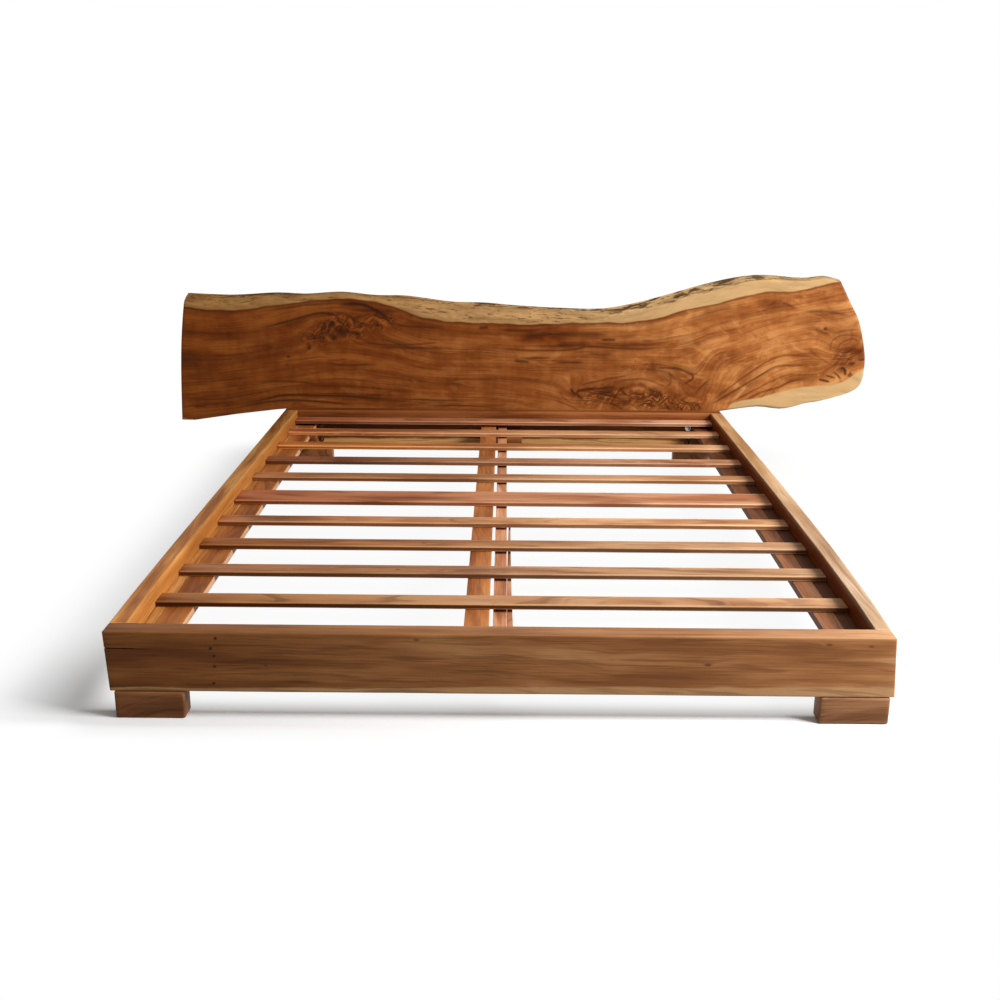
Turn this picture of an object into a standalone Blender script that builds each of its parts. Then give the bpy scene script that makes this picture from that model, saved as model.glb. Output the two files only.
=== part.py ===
"""Queen size platform bed with a live-edge slab headboard, modelled piece by piece.

The bed lies with its foot towards -Y and its head towards +Y. Inside the script X runs across the
bed from the frame's middle, Y from the front of the foot rail, and Z from the floor. One empty
carries every piece and moves the origin to the middle of the whole bed, on the floor.
"""

import math
from collections import namedtuple

import bmesh
import bpy
from mathutils import Matrix, Vector

# Lengths are in metres
GAP = 0.0003  # left between faces that touch
CUT_REACH = 0.002  # how far a cutter runs past the face that it opens
WELD = 0.00001  # points closer than this are one point
SOFT_SEGMENTS = 2  # facets of a softly rounded edge
EDGE_ANGLE = math.radians(40)  # edges sharper than this are rounded
SHADE_ANGLE = math.radians(50)  # edges sharper than this are shaded as sharp
UP = (0.0, 0.0, 1.0)
DOWN = (0.0, 0.0, -1.0)
TOWARDS_HEAD = (0.0, 1.0, 0.0)
TOWARDS_FOOT = (0.0, -1.0, 0.0)

# Bed frame
FRAME_WIDTH = 1.616
FRAME_LENGTH = 2.140
RAIL_HEIGHT = 0.133
FOOT_RAIL_THICKNESS = 0.048
HEAD_RAIL_THICKNESS = 0.044
LEFT_RAIL_FOOT_THICKNESS = 0.037
LEFT_RAIL_HEAD_THICKNESS = 0.045
LEFT_RAIL_BOW = 0.0055
RIGHT_RAIL_FOOT_THICKNESS = 0.032
RIGHT_RAIL_HEAD_THICKNESS = 0.042
RIGHT_RAIL_OUTER_BOW = 0.015
RIGHT_RAIL_INNER_BOW = 0.008
LEFT_BOW_SKEW = 0.4  # below 1, the bow is deepest nearer the foot
RIGHT_BOW_SKEW = 0.7
BOW_STEPS = 12
RAIL_EDGE = 0.003

# Feet
FOOT_HEIGHT = 0.061
FOOT_WIDTH = 0.145
FOOT_DEPTH = 0.048
FRONT_LEFT_INSET = 0.011
FRONT_RIGHT_INSET = 0.002
REAR_INSET = 0.026
FOOT_EDGE = 0.005
CENTER_FOOT_WIDTH = 0.040

# Slats
SLAT_COUNT = 10
SLAT_WIDTH = 0.058
WIDE_SLAT_WIDTH = 0.110
WIDE_SLAT = 5  # counted from the foot
SLAT_THICKNESS = 0.013
SLAT_EDGE = 0.0025
FIRST_SLAT_SETBACK = 0.207
LAST_SLAT_SPACE = 0.0857
DECK_DROP = 0.035  # from the rails' top to the slats' top
HEAD_SLAT_LIFT = 0.009  # the slat against the head rail lies higher

# Lengthwise bearers under the slats
BEARER_THICKNESS = 0.018
BEARER_EDGE = 0.001
LEFT_BATTEN_WIDTH = 0.011  # at the head, where it is narrowest
RIGHT_BATTEN_WIDTH = 0.019
LEFT_BEARER_WIDTH = 0.062
RIGHT_BEARER_WIDTH = 0.047
CENTER_BEARER_START = -0.080
CENTER_BEARER_WIDTH = 0.055
CENTER_SLOT = 0.008
CENTER_LATH_WIDTH = 0.031
CENTER_LATH_THICKNESS = 0.011
STRIP_FOOT_WIDTH = 0.0145
STRIP_END_WIDTH = 0.0055
STRIP_SPRING = 0.0045  # how far its loose end stands off the lath
STRIP_HOLD = 0.20  # from the foot rail, where it starts to stand off
STRIP_LENGTH = 0.83
STRIP_STEPS = 6

# Blocks that carry the bearers' ends
BLOCK_DEPTH = 0.045
BLOCK_HEIGHT = 0.060
CENTER_BLOCK_WIDTH = 0.140
BLOCK_EDGE = 0.002

# Headboard slab: points of its outline are shares of its length, and of its rise above the seat
SLAB_LEFT_REACH = 0.396
SLAB_RIGHT_REACH = 0.526
SLAB_RISE = 0.505
SLAB_THICKNESS = 0.050
SLAB_SEAT_DROP = 0.006  # from the rails' top to the sawn bottom edge
SLAB_SEAT_INSET = 0.015  # from the frame's sides to the ends of the sawn edge
TOP_EDGE = (
    (0.019, 0.840), (0.084, 0.830), (0.145, 0.848), (0.190, 0.842), (0.240, 0.857), (0.290, 0.835),
    (0.335, 0.832), (0.398, 0.793), (0.445, 0.787), (0.492, 0.769), (0.556, 0.753), (0.619, 0.753),
    (0.681, 0.815), (0.774, 0.948), (0.836, 1.000), (0.899, 0.983), (0.930, 0.997), (0.954, 0.972),
)
RIGHT_END = ((0.972, 0.807), (0.986, 0.679), (0.997, 0.484), (1.000, 0.350), (0.996, 0.218))
RIGHT_BOTTOM = (
    (0.979, 0.152), (0.940, 0.090), (0.918, 0.071), (0.900, 0.043), (0.880, 0.027), (0.848, 0.042),
    (0.815, 0.022),
)
LEFT_BOTTOM = ((0.139, -0.010), (0.082, -0.046), (0.019, -0.094))
LEFT_END = ((0.000, -0.093), (0.003, 0.244), (0.007, 0.509), (0.014, 0.770), (0.019, 0.840))
POINTS_PER_SPAN = 3
# The natural edge slopes back from the front face: share of the length, share of the widest slope
WANE_REACH = 0.058
WANE = (
    (0.000, 0.10), (0.020, 0.17), (0.045, 0.78), (0.150, 1.00), (0.300, 0.86), (0.450, 0.86),
    (0.560, 0.72), (0.650, 0.48), (0.780, 0.59), (0.860, 0.59), (0.930, 0.31), (1.000, 0.14),
)
WANE_DEPTH = 0.030
SAWN_EDGE = 0.003
BOTTOM_WANE = 0.012
SLAB_SHOULDER = 0.004

# Posts behind the headboard
POST_WIDTH = 0.080
POST_THICKNESS = 0.035
POST_RISE = 0.290  # above the slab's seat

# Joints and fasteners
TENON_LENGTH = 0.060
TENON_HEIGHT = 0.080
TENON_THICKNESS = 0.012
TENON_EDGE = 0.003
DOWEL_RADIUS = 0.006
DOWEL_LENGTH = 0.060
DOWEL_BITE = 0.012  # into the centre bearer
SLAB_SCREW_SHANK = 0.003
SLAB_SCREW_HEAD = 0.006
SLAB_SCREW_HEAD_HEIGHT = 0.004
SLAB_SCREW_SINK = 0.0005
SLAB_SCREW_BITE = 0.030
SLAB_SCREW_RISES = {"lower": 0.080, "upper": 0.220}  # above the slab's seat
FOOT_SCREW_SHANK = 0.004
FOOT_SCREW_HEAD = 0.0075
FOOT_SCREW_HEAD_HEIGHT = 0.005
FOOT_SCREW_SINK = 0.020
FOOT_SCREW_BITE = 0.030
BOLT_SHANK = 0.005
BOLT_HEAD = 0.0075
BOLT_HEAD_HEIGHT = 0.007
BOLT_DOME = ((0.00, 1.00), (0.55, 0.90), (1.00, 0.45))  # shares of the head's radius and height
BOLT_DROP = 0.057  # from the rails' top
BOLT_RISE = 0.022  # from the rails' bottom
BOLT_SIDE_SPACE = 0.014  # from the bearer's inner edge
FLANGE_RADIUS = 0.0105
FLANGE_THICKNESS = 0.002
NUT_RADIUS = 0.0092
NUT_HEIGHT = 0.008
BOLT_END = 0.002  # past the nut
NUT_POCKET_RADIUS = 0.0135
NUT_POCKET_DEPTH = 0.018
SMALL_SIDES = 8
BOLT_SIDES = 12

# Colour, roughness and metallic value of each finish
FINISHES = {
    "slab_wood": ((0.270, 0.082, 0.019), 0.45, 0.0),
    "rail_wood": ((0.330, 0.135, 0.048), 0.48, 0.0),
    "slat_wood": ((0.480, 0.215, 0.090), 0.50, 0.0),
    "bearer_wood": ((0.400, 0.160, 0.055), 0.52, 0.0),
    "foot_wood": ((0.215, 0.075, 0.026), 0.50, 0.0),
    "dowel_wood": ((0.600, 0.420, 0.240), 0.60, 0.0),
    "bright_steel": ((0.620, 0.620, 0.600), 0.28, 1.0),
    "dark_steel": ((0.060, 0.058, 0.055), 0.45, 1.0),
}

# Levels and edges that follow from the sizes above
HALF_WIDTH = FRAME_WIDTH / 2
HEAD_INNER = FRAME_LENGTH - HEAD_RAIL_THICKNESS
INNER_LENGTH = HEAD_INNER - FOOT_RAIL_THICKNESS
RAIL_BOTTOM = FOOT_HEIGHT
RAIL_TOP = FOOT_HEIGHT + RAIL_HEIGHT
SLAT_TOP = RAIL_TOP - DECK_DROP
SLAT_BOTTOM = SLAT_TOP - SLAT_THICKNESS
BEARER_TOP = SLAT_BOTTOM - GAP
BEARER_BOTTOM = BEARER_TOP - BEARER_THICKNESS
BEARER_FRONT = FOOT_RAIL_THICKNESS + GAP
BEARER_BACK = HEAD_INNER - GAP
BLOCK_TOP = BEARER_BOTTOM - GAP
BLOCK_BOTTOM = BLOCK_TOP - BLOCK_HEIGHT
LEFT_BEARER_OUTER = LEFT_RAIL_HEAD_THICKNESS - HALF_WIDTH + LEFT_BATTEN_WIDTH
LEFT_BEARER_INNER = LEFT_BEARER_OUTER + LEFT_BEARER_WIDTH
RIGHT_BEARER_OUTER = HALF_WIDTH - RIGHT_RAIL_HEAD_THICKNESS - RIGHT_BATTEN_WIDTH
RIGHT_BEARER_INNER = RIGHT_BEARER_OUTER - RIGHT_BEARER_WIDTH
CENTER_BEARER_END = CENTER_BEARER_START + CENTER_BEARER_WIDTH
CENTER_LATH_START = CENTER_BEARER_END + CENTER_SLOT
CENTER_LATH_END = CENTER_LATH_START + CENTER_LATH_WIDTH
SLAB_START = -HALF_WIDTH - SLAB_LEFT_REACH
SLAB_LENGTH = FRAME_WIDTH + SLAB_LEFT_REACH + SLAB_RIGHT_REACH
SLAB_SEAT = RAIL_TOP - SLAB_SEAT_DROP
SLAB_FRONT = FRAME_LENGTH + GAP
SLAB_BACK = SLAB_FRONT + SLAB_THICKNESS
POST_FRONT = SLAB_BACK + GAP
POST_BACK = POST_FRONT + POST_THICKNESS
POST_PLACES = {
    "left": LEFT_BEARER_INNER + BOLT_SIDE_SPACE,
    "right": RIGHT_BEARER_INNER - BOLT_SIDE_SPACE,
}
CENTER_BEARER_MIDDLE = (CENTER_BEARER_START + CENTER_BEARER_END) / 2

Screw = namedtuple("Screw", "shank head head_height length sink")


def clear_scene():
    """Remove the objects of the scene that the script starts in."""
    for obj in list(bpy.data.objects):
        bpy.data.objects.remove(obj, do_unlink=True)


def new_collection(name):
    """Add a collection to the scene."""
    group = bpy.data.collections.new(name)
    bpy.context.scene.collection.children.link(group)
    return group


def make_finish(name):
    """Make the Principled material of one finish."""
    colour, roughness, metallic = FINISHES[name]
    finish = bpy.data.materials.new(name)
    finish.use_nodes = True
    shader = finish.node_tree.nodes["Principled BSDF"]
    shader.inputs["Base Color"].default_value = (*colour, 1.0)
    shader.inputs["Roughness"].default_value = roughness
    shader.inputs["Metallic"].default_value = metallic
    finish.diffuse_color = (*colour, 1.0)
    return finish


def add_piece(name, mesh, finish, place=(0.0, 0.0, 0.0)):
    """Link a mesh as a piece of the bed, carried by the bed's empty."""
    piece = bpy.data.objects.new(name, mesh)
    piece.location = place
    piece.parent = bed
    mesh.materials.append(finishes[finish])
    parts.objects.link(piece)
    return piece


def round_edges(piece, width, segments=1):
    """Round every sharp edge of a piece."""
    bevel = piece.modifiers.new("rounded_edges", "BEVEL")
    bevel.width = width
    bevel.segments = segments
    bevel.limit_method = "ANGLE"
    bevel.angle_limit = EDGE_ANGLE


def box_mesh(name, size):
    """Make a box round the origin."""
    form = bmesh.new()
    bmesh.ops.create_cube(form, size=1.0, matrix=Matrix.Diagonal((*size, 1.0)))
    mesh = bpy.data.meshes.new(name)
    form.to_mesh(mesh)
    form.free()
    return mesh


def board(name, low, high, finish, edge, segments=1):
    """Make a straight board between two corners."""
    low, high = Vector(low), Vector(high)
    piece = add_piece(name, box_mesh(name, high - low), finish, (low + high) / 2)
    round_edges(piece, edge, segments)
    return piece


def outline_mesh(name, outline, thickness):
    """Fill a flat outline in X and Y and thicken it both ways along Z."""
    curve = bpy.data.curves.new(name, "CURVE")
    curve.dimensions = "2D"
    curve.fill_mode = "BOTH"
    curve.extrude = thickness / 2
    spline = curve.splines.new("POLY")
    spline.points.add(len(outline) - 1)
    for point, (x, y) in zip(spline.points, outline):
        point.co = (x, y, 0.0, 1.0)
    spline.use_cyclic_u = True
    guide = bpy.data.objects.new(name, curve)
    bpy.context.scene.collection.objects.link(guide)
    graph = bpy.context.evaluated_depsgraph_get()
    mesh = bpy.data.meshes.new_from_object(guide.evaluated_get(graph))
    bpy.data.objects.remove(guide, do_unlink=True)
    form = bmesh.new()
    form.from_mesh(mesh)
    bmesh.ops.remove_doubles(form, verts=form.verts, dist=WELD)
    bmesh.ops.recalc_face_normals(form, faces=form.faces)
    form.to_mesh(mesh)
    form.free()
    mesh.name = name
    return mesh


def plank(name, outline, bottom, top, finish, edge, segments=1):
    """Make a plank from its outline seen from above."""
    mesh = outline_mesh(name, outline, top - bottom)
    piece = add_piece(name, mesh, finish, (0.0, 0.0, (top + bottom) / 2))
    round_edges(piece, edge, segments)
    return piece


def turned_mesh(name, profile, sides, closed=False):
    """Turn a profile of (radius, height) points round the Z axis."""
    count = len(profile)
    links = [(index, index + 1) for index in range(count - 1)]
    if closed:
        links.append((count - 1, 0))
    mesh = bpy.data.meshes.new(name)
    mesh.from_pydata([(radius, 0.0, height) for radius, height in profile], links, [])
    guide = bpy.data.objects.new(name, mesh)
    bpy.context.scene.collection.objects.link(guide)
    turn = guide.modifiers.new("turn", "SCREW")
    turn.steps = sides
    turn.render_steps = sides
    turn.use_merge_vertices = True
    turn.merge_threshold = WELD
    graph = bpy.context.evaluated_depsgraph_get()
    turned = bpy.data.meshes.new_from_object(guide.evaluated_get(graph))
    bpy.data.objects.remove(guide, do_unlink=True)
    return turned


def cut(pieces, name, mesh, place, direction=DOWN):
    """Cut a mesh out of each piece, its own -Z axis turned along a direction."""
    cutter = bpy.data.objects.new(name, mesh)
    cutter.location = place
    cutter.rotation_euler = turn_towards(direction)
    cutter.parent = bed
    cutter.hide_render = True
    cutter.display_type = "WIRE"
    cutters.objects.link(cutter)
    for piece in pieces:
        hole = piece.modifiers.new(name, "BOOLEAN")
        hole.operation = "DIFFERENCE"
        hole.object = cutter


def turn_towards(direction):
    """Rotation that turns the -Z axis along a direction."""
    return Vector(DOWN).rotation_difference(Vector(direction)).to_euler()


def fit_turned(name, profile, hole, sides, place, direction, pieces, finish):
    """Fit a turned piece at a point, along a direction, in a hole through the given pieces."""
    mesh = turned_mesh(name, profile, sides)
    mesh.shade_smooth()
    mesh.set_sharp_from_angle(angle=SHADE_ANGLE)
    fitting = add_piece(name, mesh, finish, place)
    fitting.rotation_euler = turn_towards(direction)
    cut(pieces, name + "_hole", turned_mesh(name + "_hole", hole, sides), place, direction)


def drive_screw(name, kind, surface, direction, pieces, finish):
    """Sink a screw with a conical head below a surface and drill the pieces that it holds."""
    profile = [
        (0.0, 0.0),
        (kind.head, 0.0),
        (kind.shank, -kind.head_height),
        (kind.shank, -kind.length),
        (0.0, -kind.length),
    ]
    mouth = kind.sink + CUT_REACH
    hole = [
        (0.0, mouth),
        (kind.head + GAP, mouth),
        (kind.head + GAP, 0.0),
        (kind.shank + GAP, -kind.head_height),
        (kind.shank + GAP, -kind.length - GAP),
        (0.0, -kind.length - GAP),
    ]
    place = Vector(surface) + Vector(direction) * kind.sink
    fit_turned(name, profile, hole, SMALL_SIDES, place, direction, pieces, finish)


def mix(first, last, share):
    """Value part of the way between two others."""
    return first + (last - first) * share


def along_rail(y):
    """Share of the side rails' length at a place along the bed."""
    return min(max((y - FOOT_RAIL_THICKNESS) / INNER_LENGTH, 0.0), 1.0)


def bow(y, skew):
    """Share of a side rail's bow at a place along the bed."""
    return math.sin(math.pi * along_rail(y) ** skew)


def left_outer(y):
    """X of the left rail's outer face."""
    return -HALF_WIDTH - LEFT_RAIL_BOW * bow(y, LEFT_BOW_SKEW)


def left_inner(y):
    """X of the left rail's inner face."""
    thickness = mix(LEFT_RAIL_FOOT_THICKNESS, LEFT_RAIL_HEAD_THICKNESS, along_rail(y))
    return left_outer(y) + thickness


def right_inner(y):
    """X of the right rail's inner face."""
    thickness = mix(RIGHT_RAIL_FOOT_THICKNESS, RIGHT_RAIL_HEAD_THICKNESS, along_rail(y))
    return HALF_WIDTH - thickness + RIGHT_RAIL_INNER_BOW * bow(y, RIGHT_BOW_SKEW)


def right_outer(y):
    """X of the right rail's outer face."""
    return HALF_WIDTH + RIGHT_RAIL_OUTER_BOW * bow(y, RIGHT_BOW_SKEW)


def bow_places():
    """Places along the bed where a bowed rail has a point."""
    return [mix(BEARER_FRONT, BEARER_BACK, step / BOW_STEPS) for step in range(BOW_STEPS + 1)]


def bowed_rail(name, right_face, left_face):
    """Make a side rail between its right and left faces."""
    right_side = [(right_face(y), y) for y in bow_places()]
    left_side = [(left_face(y), y) for y in bow_places()]
    outline = right_side + left_side[::-1]
    return plank(name, outline, RAIL_BOTTOM, RAIL_TOP, "rail_wood", RAIL_EDGE, SOFT_SEGMENTS)


def make_rails():
    """Make the four rails of the frame."""
    foot_rail = board(
        "foot_rail",
        (-HALF_WIDTH, 0.0, RAIL_BOTTOM),
        (HALF_WIDTH, FOOT_RAIL_THICKNESS, RAIL_TOP),
        "rail_wood", RAIL_EDGE, SOFT_SEGMENTS,
    )
    head_rail = board(
        "head_rail",
        (-HALF_WIDTH, HEAD_INNER, RAIL_BOTTOM),
        (HALF_WIDTH, FRAME_LENGTH, RAIL_TOP),
        "rail_wood", RAIL_EDGE, SOFT_SEGMENTS,
    )
    side_rails = [
        bowed_rail("left_side_rail", left_inner, left_outer),
        bowed_rail("right_side_rail", right_outer, right_inner),
    ]
    return foot_rail, head_rail, *side_rails


def make_feet():
    """Make the four corner feet and the middle foot."""
    left = -HALF_WIDTH
    right = HALF_WIDTH - FOOT_WIDTH
    rear = FRAME_LENGTH - FOOT_DEPTH
    corners = {
        "front_left_foot": (left + FRONT_LEFT_INSET, 0.0),
        "front_right_foot": (right - FRONT_RIGHT_INSET, 0.0),
        "rear_left_foot": (left + REAR_INSET, rear),
        "rear_right_foot": (right - REAR_INSET, rear),
    }
    feet = {}
    for name, (x, y) in corners.items():
        top_corner = (x + FOOT_WIDTH, y + FOOT_DEPTH, FOOT_HEIGHT - GAP)
        feet[name] = board(name, (x, y, 0.0), top_corner, "foot_wood", FOOT_EDGE, SOFT_SEGMENTS)
    middle_x = CENTER_BEARER_MIDDLE
    middle_y = FRAME_LENGTH / 2
    center_foot = board(
        "center_foot",
        (middle_x - CENTER_FOOT_WIDTH / 2, middle_y - FOOT_DEPTH / 2, 0.0),
        (middle_x + CENTER_FOOT_WIDTH / 2, middle_y + FOOT_DEPTH / 2, BLOCK_TOP),
        "foot_wood", BLOCK_EDGE,
    )
    return feet, center_foot


def slat_spans():
    """Front and back of each slat, from the foot to the head."""
    widths = [SLAT_WIDTH] * SLAT_COUNT
    widths[WIDE_SLAT - 1] = WIDE_SLAT_WIDTH
    free = INNER_LENGTH - FIRST_SLAT_SETBACK - LAST_SLAT_SPACE - sum(widths) - GAP
    space = free / (SLAT_COUNT - 2)
    spans = []
    front = FOOT_RAIL_THICKNESS + FIRST_SLAT_SETBACK
    for width in widths[:-1]:
        spans.append((front, front + width))
        front += width + space
    spans.append((BEARER_BACK - widths[-1], BEARER_BACK))
    return spans


def make_slats():
    """Lay the slats between the side rails."""
    for number, (front, back) in enumerate(slat_spans(), start=1):
        left_end = max(left_inner(front), left_inner(back)) + GAP
        right_end = min(right_inner(front), right_inner(back)) - GAP
        lift = HEAD_SLAT_LIFT if number == SLAT_COUNT else 0.0
        board(
            f"slat_{number:02d}",
            (left_end, front, SLAT_BOTTOM + lift),
            (right_end, back, SLAT_TOP + lift),
            "slat_wood", SLAT_EDGE, SOFT_SEGMENTS,
        )


def make_bearers():
    """Make the lengthwise boards that carry the slats."""
    spans = {
        "left_bearer": (LEFT_BEARER_OUTER, LEFT_BEARER_INNER, BEARER_TOP),
        "right_bearer": (RIGHT_BEARER_INNER, RIGHT_BEARER_OUTER, BEARER_TOP),
        "center_bearer": (CENTER_BEARER_START, CENTER_BEARER_END, BEARER_TOP),
        "center_lath": (
            CENTER_LATH_START, CENTER_LATH_END, BEARER_BOTTOM + CENTER_LATH_THICKNESS
        ),
    }
    return {
        name: board(
            name,
            (start, BEARER_FRONT, BEARER_BOTTOM),
            (end, BEARER_BACK, top),
            "bearer_wood", BEARER_EDGE,
        )
        for name, (start, end, top) in spans.items()
    }


def make_lath_strip():
    """Make the tapering strip beside the centre lath, held at the foot and sprung away at its loose end."""
    places = [(BEARER_FRONT, 0.0)]
    for step in range(STRIP_STEPS + 1):
        share = step / STRIP_STEPS
        y = BEARER_FRONT + mix(STRIP_HOLD, STRIP_LENGTH, share)
        places.append((y, STRIP_SPRING * share**2))
    near = CENTER_LATH_END + GAP
    near_side = [(near + offset, y) for y, offset in places]
    far_side = []
    for x, y in near_side:
        share = (y - BEARER_FRONT) / STRIP_LENGTH
        far_side.append((x + mix(STRIP_FOOT_WIDTH, STRIP_END_WIDTH, share), y))
    outline = far_side + near_side[::-1]
    top = BEARER_BOTTOM + CENTER_LATH_THICKNESS
    plank("center_lath_strip", outline, BEARER_BOTTOM, top, "bearer_wood", BEARER_EDGE)


def make_battens():
    """Make the battens between the side rails and the side bearers."""
    left_rail_side = [(left_inner(y) + GAP, y) for y in bow_places()]
    left_outline = left_rail_side[::-1] + [
        (LEFT_BEARER_OUTER - GAP, BEARER_FRONT),
        (LEFT_BEARER_OUTER - GAP, BEARER_BACK),
    ]
    right_rail_side = [(right_inner(y) - GAP, y) for y in bow_places()]
    right_outline = right_rail_side + [
        (RIGHT_BEARER_OUTER + GAP, BEARER_BACK),
        (RIGHT_BEARER_OUTER + GAP, BEARER_FRONT),
    ]
    for name, outline in (("left_side_batten", left_outline), ("right_side_batten", right_outline)):
        plank(name, outline, BEARER_BOTTOM, BEARER_TOP, "bearer_wood", BEARER_EDGE)


def make_blocks():
    """Make the blocks on the end rails, under the bearers' ends."""
    ends = {
        "foot": (BEARER_FRONT, BEARER_FRONT + BLOCK_DEPTH),
        "head": (BEARER_BACK - BLOCK_DEPTH, BEARER_BACK),
    }
    for end, (front, back) in ends.items():
        left_side = max(left_inner(front), left_inner(back)) + GAP
        right_side = min(right_inner(front), right_inner(back)) - GAP
        spans = {
            "left": (left_side, LEFT_BEARER_INNER),
            "center": (-CENTER_BLOCK_WIDTH / 2, CENTER_BLOCK_WIDTH / 2),
            "right": (RIGHT_BEARER_INNER, right_side),
        }
        for side, (start, stop) in spans.items():
            board(
                f"{end}_{side}_block",
                (start, front, BLOCK_BOTTOM),
                (stop, back, BLOCK_TOP),
                "bearer_wood", BLOCK_EDGE,
            )


def smooth_points(points):
    """Points along a smooth curve through the given ones, without the last."""
    padded = [points[0], *points, points[-1]]
    smooth = []
    for before, start, end, after in zip(padded, padded[1:], padded[2:], padded[3:]):
        for step in range(POINTS_PER_SPAN):
            t = step / POINTS_PER_SPAN
            smooth.append(tuple(
                b + 0.5 * t * (c - a + t * (2 * a - 5 * b + 4 * c - d + t * (3 * (b - c) + d - a)))
                for a, b, c, d in zip(before, start, end, after)
            ))
    return smooth


def wane_reach(share):
    """Reach of the sloping natural edge at a share of the slab's length."""
    for (start, first), (end, last) in zip(WANE, WANE[1:]):
        if share <= end:
            return WANE_REACH * mix(first, last, (share - start) / (end - start))
    return WANE_REACH * WANE[-1][1]


def slab_outline():
    """Points (x, z) round the slab, clockwise from the front, and the reach of each one's front slope."""
    shoulder, lower_turn = TOP_EDGE[-1], RIGHT_END[-1]
    right_seat = ((SLAB_LEFT_REACH + FRAME_WIDTH - SLAB_SEAT_INSET) / SLAB_LENGTH, 0.0)
    left_seat = ((SLAB_LEFT_REACH + SLAB_SEAT_INSET) / SLAB_LENGTH, 0.0)
    natural = smooth_points(TOP_EDGE) + smooth_points((shoulder, *RIGHT_END, *RIGHT_BOTTOM, right_seat))
    sawn = [right_seat, left_seat, *LEFT_BOTTOM, *smooth_points(LEFT_END)]
    reaches = []
    for share, height in natural:
        under = share < lower_turn[0] and height < lower_turn[1]
        reaches.append(BOTTOM_WANE if under else wane_reach(share))
    reaches += [SAWN_EDGE] * len(sawn)
    points = [
        Vector((SLAB_START + share * SLAB_LENGTH, SLAB_SEAT + height * SLAB_RISE))
        for share, height in natural + sawn
    ]
    return points, reaches


def inset(points, reaches):
    """Move each point of a clockwise outline inwards by its own reach."""
    moved = []
    for index, (point, reach) in enumerate(zip(points, reaches)):
        following = points[(index + 1) % len(points)]
        along = (following - points[index - 1]).normalized()
        moved.append(point + Vector((along.y, -along.x)) * reach)
    return moved


def make_slab():
    """Loft the headboard slab from its front face back to its rear face."""
    outline, reaches = slab_outline()
    levels = (
        (SLAB_FRONT, inset(outline, reaches)),
        (SLAB_FRONT + WANE_DEPTH, outline),
        (SLAB_BACK, inset(outline, [SLAB_SHOULDER] * len(outline))),
    )
    form = bmesh.new()
    rings = [[form.verts.new((x, y, z)) for x, z in points] for y, points in levels]
    for near, far in zip(rings, rings[1:]):
        for index in range(len(outline)):
            following = (index + 1) % len(outline)
            form.faces.new((near[index], near[following], far[following], far[index]))
    form.faces.new(rings[0])
    form.faces.new(rings[-1])
    bmesh.ops.recalc_face_normals(form, faces=form.faces)
    bmesh.ops.triangulate(form, faces=form.faces)
    mesh = bpy.data.meshes.new("headboard_slab")
    form.to_mesh(mesh)
    form.free()
    return add_piece("headboard_slab", mesh, "slab_wood")


def make_posts():
    """Make the rebated posts that carry the slab behind the head rail."""
    shoulder = SLAB_SEAT - GAP
    outline = [
        (SLAB_FRONT, RAIL_BOTTOM),
        (POST_BACK, RAIL_BOTTOM),
        (POST_BACK, SLAB_SEAT + POST_RISE),
        (POST_FRONT, SLAB_SEAT + POST_RISE),
        (POST_FRONT, shoulder),
        (SLAB_FRONT, shoulder),
    ]
    posts = {}
    for side, x in POST_PLACES.items():
        name = f"{side}_headboard_post"
        post = add_piece(name, outline_mesh(name, outline, POST_WIDTH), "bearer_wood", (x, 0.0, 0.0))
        post.rotation_euler = (math.pi / 2, 0.0, math.pi / 2)
        round_edges(post, BLOCK_EDGE)
        posts[side] = post
    return posts


def bolt_headboard(head_rail, posts):
    """Bolt the posts to the head rail with flanged bolts, and with nuts sunk in the posts' backs."""
    pocket_floor = POST_BACK - NUT_POCKET_DEPTH
    head_seat = HEAD_INNER - GAP
    nut_start = pocket_floor + GAP
    length = nut_start + NUT_HEIGHT + BOLT_END - head_seat
    bore = BOLT_SHANK + GAP
    bolt = [
        *((BOLT_HEAD * across, BOLT_HEAD_HEIGHT * up) for across, up in BOLT_DOME),
        (BOLT_HEAD, FLANGE_THICKNESS),
        (FLANGE_RADIUS, FLANGE_THICKNESS),
        (FLANGE_RADIUS, 0.0),
        (BOLT_SHANK, 0.0),
        (BOLT_SHANK, -length),
        (0.0, -length),
    ]
    nut = [
        (bore, 0.0),
        (FLANGE_RADIUS, 0.0),
        (FLANGE_RADIUS, -FLANGE_THICKNESS),
        (NUT_RADIUS, -FLANGE_THICKNESS),
        (NUT_RADIUS, -NUT_HEIGHT),
        (bore, -NUT_HEIGHT),
    ]
    bore_end = head_seat - pocket_floor
    pocket_end = bore_end - NUT_POCKET_DEPTH - CUT_REACH
    hole = [
        (0.0, CUT_REACH),
        (bore, CUT_REACH),
        (bore, bore_end),
        (NUT_POCKET_RADIUS, bore_end),
        (NUT_POCKET_RADIUS, pocket_end),
        (0.0, pocket_end),
    ]
    levels = {"upper": RAIL_TOP - BOLT_DROP, "lower": RAIL_BOTTOM + BOLT_RISE}
    for side, x in POST_PLACES.items():
        for level, z in levels.items():
            fit_turned(
                f"headboard_bolt_{side}_{level}", bolt, hole, BOLT_SIDES, (x, head_seat, z),
                TOWARDS_HEAD, [head_rail, posts[side]], "bright_steel",
            )
            name = f"headboard_nut_{side}_{level}"
            mesh = turned_mesh(name, nut, BOLT_SIDES, closed=True)
            fastener = add_piece(name, mesh, "dark_steel", (x, nut_start, z))
            fastener.rotation_euler = turn_towards(TOWARDS_HEAD)


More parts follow.
